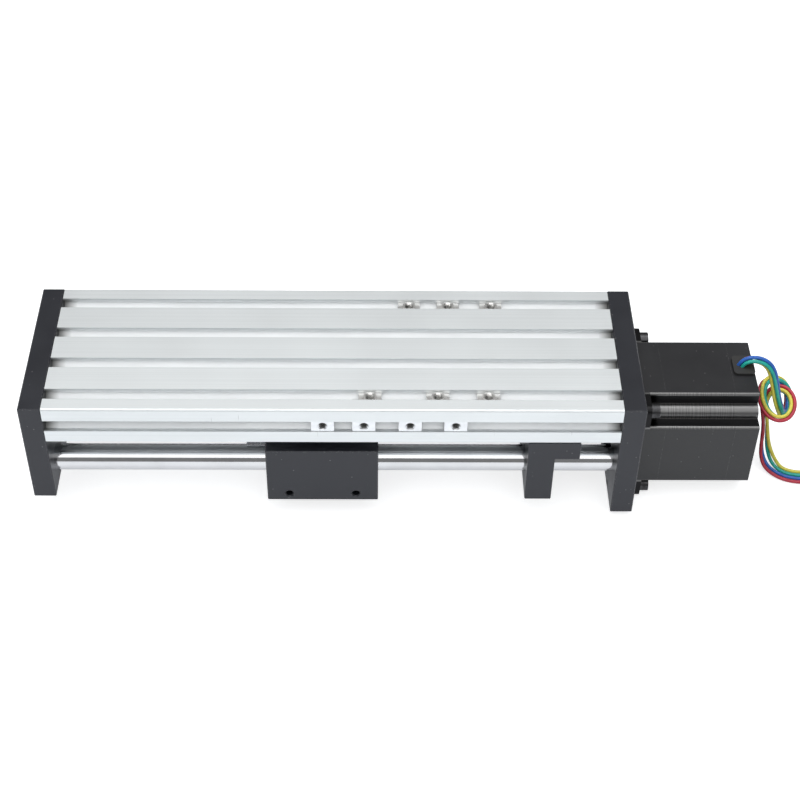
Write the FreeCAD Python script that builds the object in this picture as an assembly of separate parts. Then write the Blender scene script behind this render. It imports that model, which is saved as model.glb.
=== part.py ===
import FreeCAD, Part
import math
import os

# A ball screw slide table: a slotted base extrusion between two end plates, two guide rods, a carriage
# driven by a ball screw, an L-shaped support block and a stepper motor with four free leads.
# It lies as pictured, with the slotted base face up and the carriage underneath. Sizes are millimetres.
# The origin is under the middle of the table at its lowest point, and +X runs along the screw
# towards the motor. Screw shanks and tapped holes are drawn plain, at the thread's core size.

# Base extrusion, four modules wide, with the same slot on all of its long faces
BASE_LENGTH = 252.0
BASE_HEIGHT = 20.0
BASE_CORNER = 1.0
SLOT_PITCH = 20.0
SLOT_COUNT = 4
SLOT_OPENING = 6.2
SLOT_LIP = 1.8
SLOT_INNER = 11.2
SLOT_WALL = 1.4
SLOT_DEPTH = 6.0
SLOT_FLOOR = 5.6
CORE_HOLE = 4.2

# End plates
PLATE_THICKNESS = 10.0
END_PLATE_HEIGHT = 55.0
MOTOR_PLATE_HEIGHT = 65.0
EDGE_BREAK = 0.4

# Guide rods, seated in pockets of both plates
ROD_DIAMETER = 12.0
ROD_SPACING = 55.0
ROD_BELOW_SCREW = 2.4
ROD_SEAT = 3.0
ROD_THREAD_DEPTH = 9.0
ROD_PASS = 0.2

# Carriage with one linear bearing on each rod
CARRIAGE_LENGTH = 50.0
CARRIAGE_WIDTH = 80.0
CARRIAGE_HEIGHT = 31.5
CARRIAGE_GAP = 5.6
CARRIAGE_FROM_PLATE = 95.5
TABLE_HOLE_X = 30.0
TABLE_HOLE_Y = 30.0
TABLE_HOLE_DEPTH = 10.0
SIDE_HOLE_SPACING = 30.0
SIDE_HOLE_RISE = 4.2
SIDE_HOLE_DEPTH = 6.0
TAP_RUN_OUT = 1.0
LINEAR_BEARING_DIAMETER = 21.0
LINEAR_BEARING_LENGTH = 30.0
LINEAR_GROOVE_SPAN = 23.0
LINEAR_GROOVE_WIDTH = 1.3
LINEAR_GROOVE_DEPTH = 0.5

# Ball screw and nut
SCREW_DIAMETER = 12.0
SCREW_DROP = 19.4
SCREW_TAIL = 0.6
SCREW_COUPLED_DIAMETER = 8.0
SCREW_COUPLED_LENGTH = 12.0
NUT_DIAMETER = 24.0
NUT_BODY_LENGTH = 30.0
NUT_FLANGE_DIAMETER = 40.0
NUT_FLANGE_FLATS = 30.0
NUT_FLANGE_THICKNESS = 10.0
NUT_BOLT_EDGE = 4.0
NUT_BOLT_ANGLE = 40.0
NUT_BORE_GAP = 0.3
WIPER_DIAMETER = 17.0
WIPER_LENGTH = 2.0
WIPER_GAP = 0.1

# Screw bearings, one in the end plate and one in the support block, and the rings that hold them
BEARING_BORE = 10.0
BEARING_DIAMETER = 26.0
BEARING_WIDTH = 8.0
BEARING_SHOULDER = 3.0
RING_WALL = 2.2
SHIELD_THICKNESS = 0.6
SHIELD_INSET = 0.3
SHIELD_GAP = 0.2
CIRCLIP_THICKNESS = 1.2
CIRCLIP_GRIP = 0.5
CIRCLIP_REACH = 1.6
CIRCLIP_OPENING = 5.0
LOCKNUT_FLATS = 15.0
LOCKNUT_THICKNESS = 5.0

# Support block: a leg that carries the fixed bearing, and an arm bolted under the base
BLOCK_FROM_PLATE = 17.0
BLOCK_LENGTH = 23.0
BLOCK_LEG = 12.0
BLOCK_ARM = 10.0
BLOCK_DROP = 36.0
BLOCK_BEARING_INSET = 1.0

# Flexible coupling, clamped on the screw and on the motor's shaft
COUPLING_DIAMETER = 18.0
COUPLING_LENGTH = 22.0
COUPLING_PLATE_GAP = 1.0
COUPLING_SLIT = 0.8
COUPLING_CLAMP = 6.4
COUPLING_HINGE = 5.0
CLAMP_SCREW_OFFSET = 6.6
CLAMP_SCREW_SEAT = 1.4
CLAMP_SCREW_LENGTH = 6.0

# Stepper motor
MOTOR_SQUARE = 56.4
MOTOR_FLAT = 35.0
MOTOR_COLUMN = 8.4
MOTOR_COLUMN_SPACING = 36.0
MOTOR_LENGTH = 54.0
MOTOR_FLANGE_THICKNESS = 4.8
MOTOR_FLANGE_CORNER = 3.0
MOTOR_NOTCH_ROUND = 1.2
MOTOR_FRONT_CAP = 12.0
MOTOR_REAR_CAP = 10.6
MOTOR_BOLT_SPACING = 47.14
MOTOR_PILOT = 38.1
MOTOR_PILOT_HEIGHT = 1.6
MOTOR_SHAFT = 6.35
MOTOR_SHAFT_REACH = 21.0
MOTOR_BEARING_DIAMETER = 19.0
MOTOR_BEARING_WIDTH = 6.0
MOTOR_BEARING_INSET = 2.5
ROTOR_DIAMETER = 30.4
ROTOR_GAP = 0.3
ROTOR_END_GAP = 2.0
GROMMET_LENGTH = 9.6
GROMMET_WIDTH = 12.0
GROMMET_HEIGHT = 1.2
GROMMET_STEM = 5.0
GROMMET_RIM = 1.0
GROMMET_CORNER = 1.8
GROMMET_OFFSET = 0.6

# Slot nuts, which slide in the base's slots: a plate with a neck and a tapped hole.
# Those in the front slot have a square neck, the six in the upper slots a round one.
SLOT_NUT_LENGTH = 10.0
SLOT_NUT_WIDTH = 9.4
SLOT_NUT_FOOT = 6.0
SLOT_NUT_PLATE = 1.0
SLOT_NUT_TAPER = 1.7
SLOT_NUT_INSET = 0.4
SLOT_NUT_GAP = 0.15
ROUND_NECK_HEIGHT = 0.9
FRONT_SLOT_NUTS = (-31.8, -13.8, 6.4, 26.3)
UPPER_FRONT_NUTS = (-11.2, 18.5, 40.7)
UPPER_REAR_NUTS = (6.5, 24.4, 44.3)

# Socket screws: thread core, clearance hole, head diameter, head height and key width
M5 = {"core": 4.2, "clear": 5.5, "head": 8.5, "height": 5.0, "key": 4.0}
M4 = {"core": 3.3, "clear": 4.5, "head": 7.0, "height": 4.0, "key": 3.0}
M3 = {"core": 2.5, "clear": 3.4, "head": 5.5, "height": 3.0, "key": 2.5}
M2_5 = {"core": 2.05, "clear": 2.9, "head": 4.5, "height": 2.5, "key": 2.0}
PLATE_SCREW_LENGTH = 16.0
ROD_SCREW_LENGTH = 10.0
BLOCK_SCREW_LENGTH = 10.0
MOTOR_SCREW_LENGTH = 12.0
NUT_SCREW_LENGTH = 12.0
TIE_SCREW_REACH = 6.0
THREAD_GAP = 0.05
HEAD_GAP = 0.3
COUNTERSINK = 0.5

# Fits, and how far a cutting shape stands out of what it cuts
PRESS_GAP = 0.02
SLIDE_GAP = 0.05
OVERCUT = 2.0

# Leads: four insulated wires in a twisted bundle that hangs in two loose turns and then lies on the surface
LEAD_DIAMETER = 1.7
LEAD_SPACING = 1.84
LEAD_RIBBON = 2.2
LEAD_TWIST = -270.0
LEAD_START_FACING = (-0.63, -0.78, 0)
LEAD_TIP_DIAMETER = 1.0
LEAD_TIP_LENGTH = 5.0
ARC_SHARE = 0.45

# Each row is a point of the bundle's middle line, and how far its four wires have spread there
# from a square bundle (0) to a flat row on the surface (1)
LEAD_ROUTE = (
    ((157.0, 0.6, 56.2), 0.0),
    ((157.8, 0.6, 58.8), 0.0),
    ((160.2, 0.4, 60.8), 0.0),
    ((163.4, 0.0, 61.4), 0.0),
    ((166.8, -0.6, 60.6), 0.0),
    ((169.7, -1.4, 58.4), 0.0),
    ((171.7, -2.4, 54.8), 0.0),
    ((173.0, -3.4, 50.4), 0.0),
    ((174.2, -4.2, 45.6), 0.0),
    ((175.6, -4.8, 40.6), 0.0),
    ((177.6, -5.0, 35.2), 0.0),
    ((180.6, -3.6, 30.4), 0.0),
    ((183.6, -0.6, 28.0), 0.0),
    ((185.8, 3.0, 28.0), 0.0),
    ((186.8, 6.6, 30.0), 0.0),
    ((186.0, 9.4, 33.2), 0.0),
    ((183.4, 10.6, 36.4), 0.0),
    ((179.2, 10.2, 39.2), 0.0),
    ((174.4, 8.8, 40.8), 0.0),
    ((170.6, 5.8, 40.8), 0.0),
    ((168.8, 1.6, 39.2), 0.0),
    ((168.6, -2.6, 37.6), 0.0),
    ((169.8, -6.6, 36.2), 0.0),
    ((172.4, -9.6, 35.0), 0.0),
    ((176.2, -11.0, 34.2), 0.0),
    ((180.4, -10.4, 34.2), 0.0),
    ((183.8, -7.8, 35.2), 0.0),
    ((185.4, -4.0, 36.8), 0.0),
    ((184.8, -0.2, 38.6), 0.0),
    ((182.4, 2.8, 39.6), 0.0),
    ((178.8, 4.6, 39.4), 0.0),
    ((175.2, 4.8, 37.4), 0.0),
    ((172.8, 4.0, 34.2), 0.0),
    ((172.4, 2.6, 30.2), 0.0),
    ((173.4, 1.0, 25.4), 0.05),
    ((174.2, -0.4, 20.4), 0.2),
    ((174.6, -2.0, 15.4), 0.4),
    ((174.9, -3.7, 10.4), 0.6),
    ((175.8, -6.0, 5.8), 0.8),
    ((177.6, -9.2, 2.6), 1.0),
    ((180.8, -12.6, 1.2), 1.0),
    ((185.2, -15.2, 0.9), 1.0),
    ((191.2, -16.4, 0.9), 1.0),
    ((199.4, -16.0, 0.9), 1.0),
    ((212.0, -13.4, 0.9), 1.0),
    ((227.0, -9.0, 0.9), 1.0),
    ((242.0, -5.4, 0.9), 1.0),
    ((257.0, -4.4, 0.9), 1.0),
    ((270.0, -5.4, 0.9), 1.0),
)

# Each wire's place in the square bundle, across and along its facing, and its place in the flat row
LEAD_PLACES = {
    "lead_yellow": ((1, -1), 1.5),
    "lead_green": ((1, 1), 0.5),
    "lead_blue": ((-1, 1), -0.5),
    "lead_red": ((-1, -1), -1.5),
}

# Stations along X and heights that follow from the sizes above
base_width = SLOT_PITCH * SLOT_COUNT
end_out = -PLATE_THICKNESS - (BASE_LENGTH + MOTOR_LENGTH) / 2
end_in = end_out + PLATE_THICKNESS
plate_in = end_in + BASE_LENGTH
plate_out = plate_in + PLATE_THICKNESS
motor_end = plate_out + MOTOR_LENGTH
flange_back = plate_out + MOTOR_FLANGE_THICKNESS
front_cap_end = plate_out + MOTOR_FRONT_CAP
rear_cap_start = motor_end - MOTOR_REAR_CAP
screw_z = MOTOR_SQUARE / 2
base_bottom = screw_z + SCREW_DROP
base_middle = base_bottom + BASE_HEIGHT / 2
base_top = base_bottom + BASE_HEIGHT
rod_z = screw_z - ROD_BELOW_SCREW
carriage_left = end_in + CARRIAGE_FROM_PLATE
carriage_right = carriage_left + CARRIAGE_LENGTH
carriage_middle = carriage_left + CARRIAGE_LENGTH / 2
carriage_top = base_bottom - CARRIAGE_GAP
carriage_bottom = carriage_top - CARRIAGE_HEIGHT
linear_left = carriage_middle - LINEAR_BEARING_LENGTH / 2
linear_right = carriage_middle + LINEAR_BEARING_LENGTH / 2
flange_left = carriage_left - NUT_FLANGE_THICKNESS
nut_right = carriage_left + NUT_BODY_LENGTH
block_right = plate_in - BLOCK_FROM_PLATE
block_left = block_right - BLOCK_LENGTH
leg_right = block_left + BLOCK_LEG
block_bottom = base_bottom - BLOCK_DROP
block_screw_x = (leg_right + block_right) / 2
fixed_bearing_left = block_left + BLOCK_BEARING_INSET + CIRCLIP_THICKNESS
fixed_bearing_right = fixed_bearing_left + BEARING_WIDTH
end_bearing_left = end_in - BEARING_WIDTH
end_clip_left = end_bearing_left - CIRCLIP_THICKNESS
locknut_right = fixed_bearing_right + LOCKNUT_THICKNESS
coupling_right = plate_in - COUPLING_PLATE_GAP
coupling_left = coupling_right - COUPLING_LENGTH
front_motor_bearing = plate_out + MOTOR_BEARING_INSET
rear_motor_bearing = motor_end - MOTOR_BEARING_INSET - MOTOR_BEARING_WIDTH
slot_centres = [(i - (SLOT_COUNT - 1) / 2) * SLOT_PITCH for i in range(SLOT_COUNT)]
outer_slots = (slot_centres[0], slot_centres[-1])
rod_places = (-ROD_SPACING / 2, ROD_SPACING / 2)
CORNERS = ((-1, -1), (-1, 1), (1, -1), (1, 1))


def vec(x, y, z):
    return FreeCAD.Vector(x, y, z)


def box(x0, x1, y0, y1, z0, z1):
    return Part.makeBox(x1 - x0, y1 - y0, z1 - z0, vec(x0, y0, z0))


def round_x(x0, x1, diameter, y=0.0, z=screw_z):
    """A cylinder along X, on the screw's axis unless it is given a place."""
    return Part.makeCylinder(diameter / 2, x1 - x0, vec(x0, y, z), vec(1, 0, 0))


def tube_x(x0, x1, outer, inner, y=0.0, z=screw_z):
    return round_x(x0, x1, outer, y, z).cut(round_x(x0 - OVERCUT, x1 + OVERCUT, inner, y, z))


def drawn_out(points, length):
    """A closed outline of points, drawn out along a vector."""
    return Part.Face(Part.makePolygon(points + points[:1])).extrude(length)


def hexagon_x(flats, x0, x1, y=0.0, z=0.0):
    corner = flats / math.sqrt(3)
    turns = [math.radians(60 * i + 30) for i in range(6)]
    outline = [vec(x0, y + corner * math.sin(a), z + corner * math.cos(a)) for a in turns]
    return drawn_out(outline, vec(x1 - x0, 0, 0))


def broken_edges(solid, edges=None):
    return solid.makeChamfer(EDGE_BREAK, edges or solid.Edges)


def round_edges(solid):
    return [edge for edge in solid.Edges if isinstance(edge.Curve, Part.Circle)]


def edges_along(solid, direction):
    """The straight edges that run one way."""
    lines = [edge for edge in solid.Edges if isinstance(edge.Curve, Part.Line)]
    return [edge for edge in lines if abs(edge.Curve.Direction.dot(direction)) > 0.99]


def placed(shape, seat, direction):
    """Turn a shape that is drawn along +X to a direction, with its origin at the seat."""
    copy = shape.copy()
    copy.Placement = FreeCAD.Placement(vec(*seat), FreeCAD.Rotation(vec(1, 0, 0), vec(*direction)))
    return copy


def socket_screw(size, length):
    """A socket screw along +X, with the underside of its head at the origin."""
    head = round_x(-size["height"], 0, size["head"], 0, 0)
    shank = round_x(0, length, size["core"] - 2 * THREAD_GAP, 0, 0)
    socket = hexagon_x(size["key"], -size["height"] - OVERCUT, -size["height"] / 2)
    return head.fuse(shank).cut(socket)


def sunk_hole(size, length):
    """What a sunk socket screw needs cut: a clearance hole, and room for its head."""
    head_room = round_x(-size["height"] - OVERCUT, 0, size["head"] + 2 * HEAD_GAP, 0, 0)
    return head_room.fuse(round_x(-OVERCUT, length, size["clear"], 0, 0))


def tapped_hole(size, depth, seat, direction):
    """What a tapped hole needs cut: its core and a small countersink."""
    core = size["core"] / 2
    drill = Part.makeCylinder(core, depth, vec(*seat), vec(*direction))
    sink = Part.makeCone(core + COUNTERSINK, core, COUNTERSINK, vec(*seat), vec(*direction))
    return drill.fuse(sink)


def save(name, *solids):
    shape = solids[0] if len(solids) == 1 else Part.makeCompound(list(solids))
    shape.exportStep(os.path.join("parts", name + ".step"))


# Base extrusion

def slot_outline():
    """The slot's section, as (across, depth) points."""
    side = [
        (SLOT_OPENING / 2, -OVERCUT),
        (SLOT_OPENING / 2, SLOT_LIP),
        (SLOT_INNER / 2, SLOT_LIP),
        (SLOT_INNER / 2, SLOT_LIP + SLOT_WALL),
        (SLOT_FLOOR / 2, SLOT_DEPTH),
    ]
    return side + [(-across, depth) for across, depth in reversed(side)]


def upper_slot(outline, y, x0, x1):
    """A slot section drawn out along the top face, at its slot's middle line."""
    points = [vec(x0, y + across, base_top - depth) for across, depth in outline]
    return drawn_out(points, vec(x1 - x0, 0, 0))


def lower_slot(outline, y, x0, x1):
    points = [vec(x0, y + across, base_bottom + depth) for across, depth in outline]
    return drawn_out(points, vec(x1 - x0, 0, 0))


def side_slot(outline, side, x0, x1):
    """The same on the front face (side -1) or the rear face (side 1)."""
    face_y = side * base_width / 2
    points = [vec(x0, face_y - side * depth, base_middle + across) for across, depth in outline]
    return drawn_out(points, vec(x1 - x0, 0, 0))


def base_extrusion():
    bar = box(end_in, plate_in, -base_width / 2, base_width / 2, base_bottom, base_top)
    bar = bar.makeFillet(BASE_CORNER, edges_along(bar, vec(1, 0, 0)))
    cuts = []
    for y in slot_centres:
        cuts.append(upper_slot(slot_outline(), y, end_in - OVERCUT, plate_in + OVERCUT))
        cuts.append(lower_slot(slot_outline(), y, end_in - OVERCUT, plate_in + OVERCUT))
        cuts.append(round_x(end_in - OVERCUT, plate_in + OVERCUT, CORE_HOLE, y, base_middle))
    for side in (-1, 1):
        cuts.append(side_slot(slot_outline(), side, end_in - OVERCUT, plate_in + OVERCUT))
    return bar.cut(cuts)


# End plates, and the screws that hold them to the base and the rods to them

def blank_plate(x0, x1, height):
    return broken_edges(box(x0, x1, -base_width / 2, base_width / 2, base_top - height, base_top))


def plate_screws(outer_face, inwards):
    seat = outer_face + inwards * M5["height"]
    screw = socket_screw(M5, PLATE_SCREW_LENGTH)
    return [placed(screw, (seat, y, base_middle), (inwards, 0, 0)) for y in slot_centres]


def rod_screws(outer_face, inwards):
    seat = outer_face + inwards * M4["height"]
    screw = socket_screw(M4, ROD_SCREW_LENGTH)
    return [placed(screw, (seat, y, rod_z), (inwards, 0, 0)) for y in rod_places]


def plate_holes(outer_face, inwards):
    """Sunk holes for the plate's screws, and the pockets that the rods' ends sit in."""
    inner_face = outer_face + inwards * PLATE_THICKNESS
    cuts = []
    for y in slot_centres:
        seat = (outer_face + inwards * M5["height"], y, base_middle)
        cuts.append(placed(sunk_hole(M5, PLATE_THICKNESS), seat, (inwards, 0, 0)))
    for y in rod_places:
        seat = (outer_face + inwards * M4["height"], y, rod_z)
        cuts.append(placed(sunk_hole(M4, PLATE_THICKNESS), seat, (inwards, 0, 0)))
        pocket = round_x(-ROD_SEAT, OVERCUT, ROD_DIAMETER + 2 * PRESS_GAP, 0, 0)
        cuts.append(placed(pocket, (inner_face, y, rod_z), (inwards, 0, 0)))
    return cuts


def end_plate():
    cuts = plate_holes(end_out, 1)
    cuts.append(round_x(end_bearing_left, end_in + OVERCUT, BEARING_DIAMETER + 2 * PRESS_GAP))
    cuts.append(round_x(end_out - OVERCUT, end_in, BEARING_DIAMETER - 2 * BEARING_SHOULDER))
    return blank_plate(end_out, end_in, END_PLATE_HEIGHT).cut(cuts)


def motor_plate():
    cuts = plate_holes(plate_out, -1)
    cuts.append(round_x(plate_in - OVERCUT, plate_out + OVERCUT, MOTOR_PILOT + 2 * SLIDE_GAP))
    for y, z in motor_bolts:
        cuts.append(round_x(plate_in - OVERCUT, plate_out + OVERCUT, M4["core"], y, z))
    return blank_plate(plate_in, plate_out, MOTOR_PLATE_HEIGHT).cut(cuts)


def guide_rod(y):
    left = end_in - ROD_SEAT
    right = plate_in + ROD_SEAT
    rod = round_x(left, right, ROD_DIAMETER, y, rod_z)
    rod = broken_edges(rod, round_edges(rod))
    threads = [
        round_x(left - OVERCUT, left + ROD_THREAD_DEPTH, M4["core"], y, rod_z),
        round_x(right - ROD_THREAD_DEPTH, right + OVERCUT, M4["core"], y, rod_z),
    ]
    return rod.cut(threads)


# Bearings and spring rings

def bearing(left, bore, outer, width):
    """A shielded bearing: the outer ring with its two shields, and the inner ring."""
    race = bore + 2 * RING_WALL
    cage = outer - 2 * RING_WALL
    ring = tube_x(left, left + width, outer, cage)
    for face in (left + SHIELD_INSET, left + width - SHIELD_INSET - SHIELD_THICKNESS):
        shield = tube_x(face, face + SHIELD_THICKNESS, cage + RING_WALL, race + 2 * SHIELD_GAP)
        ring = ring.fuse(shield)
    return ring.removeSplitter(), tube_x(left, left + width, race, bore + 2 * PRESS_GAP)


def bore_clip(left, bore, y=0.0, z=screw_z):
    """A spring ring sprung into a groove of a bore, open at the bottom."""
    outer = bore + 2 * CIRCLIP_GRIP
    ring = tube_x(left, left + CIRCLIP_THICKNESS, outer, bore - 2 * CIRCLIP_REACH, y, z)
    right = left + CIRCLIP_THICKNESS
    half = CIRCLIP_OPENING / 2
    return ring.cut(box(left - OVERCUT, right + OVERCUT, y - half, y + half, z - outer, z))


def bore_groove(left, bore, y=0.0, z=screw_z):
    groove = bore + 2 * CIRCLIP_GRIP + 2 * PRESS_GAP
    return round_x(left, left + CIRCLIP_THICKNESS, groove, y, z)


def shaft_clip(left, shaft):
    """A spring ring in a groove of a shaft, open at the bottom."""
    outer = shaft + 2 * CIRCLIP_REACH
    inner = shaft - 2 * CIRCLIP_GRIP + 2 * PRESS_GAP
    half = CIRCLIP_OPENING / 2
    mouth = box(left - OVERCUT, left + CIRCLIP_THICKNESS + OVERCUT, -half, half, screw_z - outer, screw_z)
    return tube_x(left, left + CIRCLIP_THICKNESS, outer, inner).cut(mouth)


# Support block

def support_block():
    outline = [
        (block_left, base_bottom),
        (block_right, base_bottom),
        (block_right, base_bottom - BLOCK_ARM),
        (leg_right, base_bottom - BLOCK_ARM),
        (leg_right, block_bottom),
        (block_left, block_bottom),
    ]
    block = drawn_out([vec(x, -base_width / 2, z) for x, z in outline], vec(0, base_width, 0))
    corner = vec(leg_right, 0, base_bottom - BLOCK_ARM)
    long_edges = edges_along(block, vec(0, 1, 0))
    outer_edges = [edge for edge in long_edges if edge.CenterOfMass.distanceToPoint(corner) > EDGE_BREAK]
    block = broken_edges(block, outer_edges)
    cuts = [
        round_x(block_left - OVERCUT, fixed_bearing_right, BEARING_DIAMETER + 2 * PRESS_GAP),
        round_x(block_left - OVERCUT, leg_right + OVERCUT, BEARING_DIAMETER - 2 * BEARING_SHOULDER),
        bore_groove(fixed_bearing_left - CIRCLIP_THICKNESS, BEARING_DIAMETER),
    ]
    for y in rod_places:
        passage = ROD_DIAMETER + 2 * ROD_PASS
        cuts.append(round_x(block_left - OVERCUT, leg_right + OVERCUT, passage, y, rod_z))
    for y in outer_slots:
        cuts.append(placed(sunk_hole(M5, BLOCK_ARM), (block_screw_x, y, block_screw_seat), (0, 0, 1)))
    return block.cut(cuts)


# Slot nuts

def nut_outline(neck):
    """Half of a slot nut's section mirrored to a whole one, as (across, depth) points."""
    plate_top = SLOT_LIP + SLOT_NUT_GAP
    side = [
        (SLOT_NUT_WIDTH / 2, plate_top),
        (SLOT_NUT_WIDTH / 2, plate_top + SLOT_NUT_PLATE),
        (SLOT_NUT_FOOT / 2, plate_top + SLOT_NUT_PLATE + SLOT_NUT_TAPER),
    ]
    if neck:
        half = SLOT_OPENING / 2 - SLOT_NUT_GAP
        side = [(half, SLOT_NUT_INSET), (half, plate_top)] + side
    return side + [(-across, depth) for across, depth in reversed(side)]


def front_slot_nut(x):
    nut = side_slot(nut_outline(True), -1, x - SLOT_NUT_LENGTH / 2, x + SLOT_NUT_LENGTH / 2)
    seat = (x, -base_width / 2 + SLOT_NUT_INSET, base_middle)
    return nut.cut(tapped_hole(M4, 2 * SLOT_DEPTH, seat, (0, 1, 0)))


def upper_slot_nut(x, y):
    nut = upper_slot(nut_outline(False), y, x - SLOT_NUT_LENGTH / 2, x + SLOT_NUT_LENGTH / 2)
    plate_top = base_top - SLOT_LIP - SLOT_NUT_GAP
    radius = SLOT_OPENING / 2 - SLOT_NUT_GAP
    neck = Part.makeCylinder(radius, ROUND_NECK_HEIGHT, vec(x, y, plate_top))
    seat = (x, y, plate_top + ROUND_NECK_HEIGHT)
    return nut.fuse(neck).cut(tapped_hole(M4, 2 * SLOT_DEPTH, seat, (0, 0, -1)))


def support_block_nut(y):
    left = block_screw_x - SLOT_NUT_LENGTH / 2
    nut = lower_slot(nut_outline(True), y, left, left + SLOT_NUT_LENGTH)
    drill = Part.makeCylinder(M5["core"] / 2, BASE_HEIGHT, vec(block_screw_x, y, base_bottom))
    return nut.cut(drill)


# Carriage

def carriage_block():
    half = CARRIAGE_WIDTH / 2
    block = broken_edges(box(carriage_left, carriage_right, -half, half, carriage_bottom, carriage_top))
    cuts = [round_x(carriage_left - OVERCUT, carriage_right + OVERCUT, NUT_DIAMETER + 2 * PRESS_GAP)]
    for y in rod_places:
        bore = LINEAR_BEARING_DIAMETER + 2 * PRESS_GAP
        cuts.append(round_x(carriage_left - OVERCUT, carriage_right + OVERCUT, bore, y, rod_z))
        for left in (linear_left - CIRCLIP_THICKNESS, linear_right):
            cuts.append(bore_groove(left, LINEAR_BEARING_DIAMETER, y, rod_z))
    for x, y in CORNERS:
        place = vec(carriage_middle + x * TABLE_HOLE_X / 2, y * TABLE_HOLE_Y / 2, carriage_bottom)
        cuts.append(Part.makeCylinder(M5["core"] / 2, TABLE_HOLE_DEPTH, place))
    for x, side in CORNERS:
        hole_x = carriage_middle + x * SIDE_HOLE_SPACING / 2
        seat = (hole_x, side * half, carriage_bottom + SIDE_HOLE_RISE)
        cuts.append(tapped_hole(M4, SIDE_HOLE_DEPTH, seat, (0, -side, 0)))
    for y, z in nut_bolts:
        cuts.append(round_x(carriage_left - OVERCUT, nut_screw_end + TAP_RUN_OUT, M4["core"], y, z))
    return block.cut(cuts)


def linear_bearing(y):
    bore = ROD_DIAMETER + 2 * SLIDE_GAP
    sleeve = tube_x(linear_left, linear_right, LINEAR_BEARING_DIAMETER, bore, y, rod_z)
    for side in (-1, 1):
        left = carriage_middle + side * LINEAR_GROOVE_SPAN / 2 - LINEAR_GROOVE_WIDTH / 2
        outer = LINEAR_BEARING_DIAMETER + OVERCUT
        inner = LINEAR_BEARING_DIAMETER - 2 * LINEAR_GROOVE_DEPTH
        sleeve = sleeve.cut(tube_x(left, left + LINEAR_GROOVE_WIDTH, outer, inner, y, rod_z))
    return sleeve


def ball_nut():
    half_flats = NUT_FLANGE_FLATS / 2
    flange = round_x(flange_left, carriage_left, NUT_FLANGE_DIAMETER)
    reach = NUT_FLANGE_DIAMETER / 2
    flange = flange.common(
        box(flange_left, carriage_left, -reach, reach, screw_z - half_flats, screw_z + half_flats))
    nut = flange.fuse(round_x(carriage_left, nut_right, NUT_DIAMETER))
    wiper_seat = WIPER_DIAMETER + 2 * PRESS_GAP
    cuts = [
        round_x(flange_left - OVERCUT, nut_right + OVERCUT, SCREW_DIAMETER + 2 * NUT_BORE_GAP),
        round_x(flange_left - OVERCUT, flange_left + WIPER_LENGTH, wiper_seat),
        round_x(nut_right - WIPER_LENGTH, nut_right + OVERCUT, wiper_seat),
    ]
    for y, z in nut_bolts:
        cuts.append(placed(sunk_hole(M4, NUT_FLANGE_THICKNESS), (nut_screw_seat, y, z), (1, 0, 0)))
    return nut.cut(cuts)


def nut_wiper(left):
    return tube_x(left, left + WIPER_LENGTH, WIPER_DIAMETER, SCREW_DIAMETER + 2 * WIPER_GAP)


# Ball screw and coupling

def ball_screw():
    """The screw's blank with its turned ends; the groove for the end's spring ring is a step."""
    groove = BEARING_BORE - 2 * CIRCLIP_GRIP
    steps = [
        (end_clip_left - SCREW_TAIL, end_clip_left, BEARING_BORE),
        (end_clip_left, end_bearing_left, groove),
        (end_bearing_left, end_in, BEARING_BORE),
        (end_in, fixed_bearing_left, SCREW_DIAMETER),
        (fixed_bearing_left, locknut_right, BEARING_BORE),
        (locknut_right, locknut_right + SCREW_COUPLED_LENGTH, SCREW_COUPLED_DIAMETER),
    ]
    points = []
    for x0, x1, diameter in steps:
        points += [vec(x0, 0, screw_z + diameter / 2), vec(x1, 0, screw_z + diameter / 2)]
    points += [vec(points[-1].x, 0, screw_z), vec(points[0].x, 0, screw_z)]
    profile = Part.Face(Part.makePolygon(points + points[:1]))
    return profile.revolve(vec(0, 0, screw_z), vec(1, 0, 0), 360)


def screw_locknut():
    nut = hexagon_x(LOCKNUT_FLATS, fixed_bearing_right, locknut_right, 0, screw_z)
    bore = BEARING_BORE + 2 * PRESS_GAP
    return nut.cut(round_x(fixed_bearing_right - OVERCUT, locknut_right + OVERCUT, bore))


def clamp_middles():
    return (coupling_left + COUPLING_CLAMP / 2, coupling_right - COUPLING_CLAMP / 2)


def coupling():
    """A slit coupling: a split clamp at each end, and two hinge slits between them."""
    radius = COUPLING_DIAMETER / 2
    reach = radius + OVERCUT
    middle = (coupling_left + coupling_right) / 2
    half_slit = COUPLING_SLIT / 2
    clamp_ends = (coupling_left + COUPLING_CLAMP, coupling_right - COUPLING_CLAMP)
    cuts = [
        round_x(coupling_left - OVERCUT, middle, SCREW_COUPLED_DIAMETER + 2 * PRESS_GAP),
        round_x(middle, coupling_right + OVERCUT, MOTOR_SHAFT + 2 * PRESS_GAP),
    ]
    for outer, inner in zip((coupling_left - OVERCUT, coupling_right + OVERCUT), clamp_ends):
        left, right = sorted((outer, inner))
        cuts.append(box(left, right, -half_slit, half_slit, screw_z, screw_z + reach))
        cuts.append(box(inner - half_slit, inner + half_slit, -reach, reach, screw_z, screw_z + reach))
    for side, x in ((-1, middle - COUPLING_HINGE / 2), (1, middle + COUPLING_HINGE / 2)):
        low, high = sorted((side * reach, -side * COUPLING_HINGE))
        cuts.append(box(x - half_slit, x + half_slit, low, high, screw_z - reach, screw_z + reach))
    for x in clamp_middles():
        seat = (x, -CLAMP_SCREW_SEAT, clamp_screw_z)
        cuts.append(placed(sunk_hole(M2_5, CLAMP_SCREW_SEAT), seat, (0, 1, 0)))
        cuts.append(Part.makeCylinder(M2_5["core"] / 2, radius, vec(x, 0, clamp_screw_z), vec(0, 1, 0)))
    return round_x(coupling_left, coupling_right, COUPLING_DIAMETER).cut(cuts)


# Stepper motor

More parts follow.
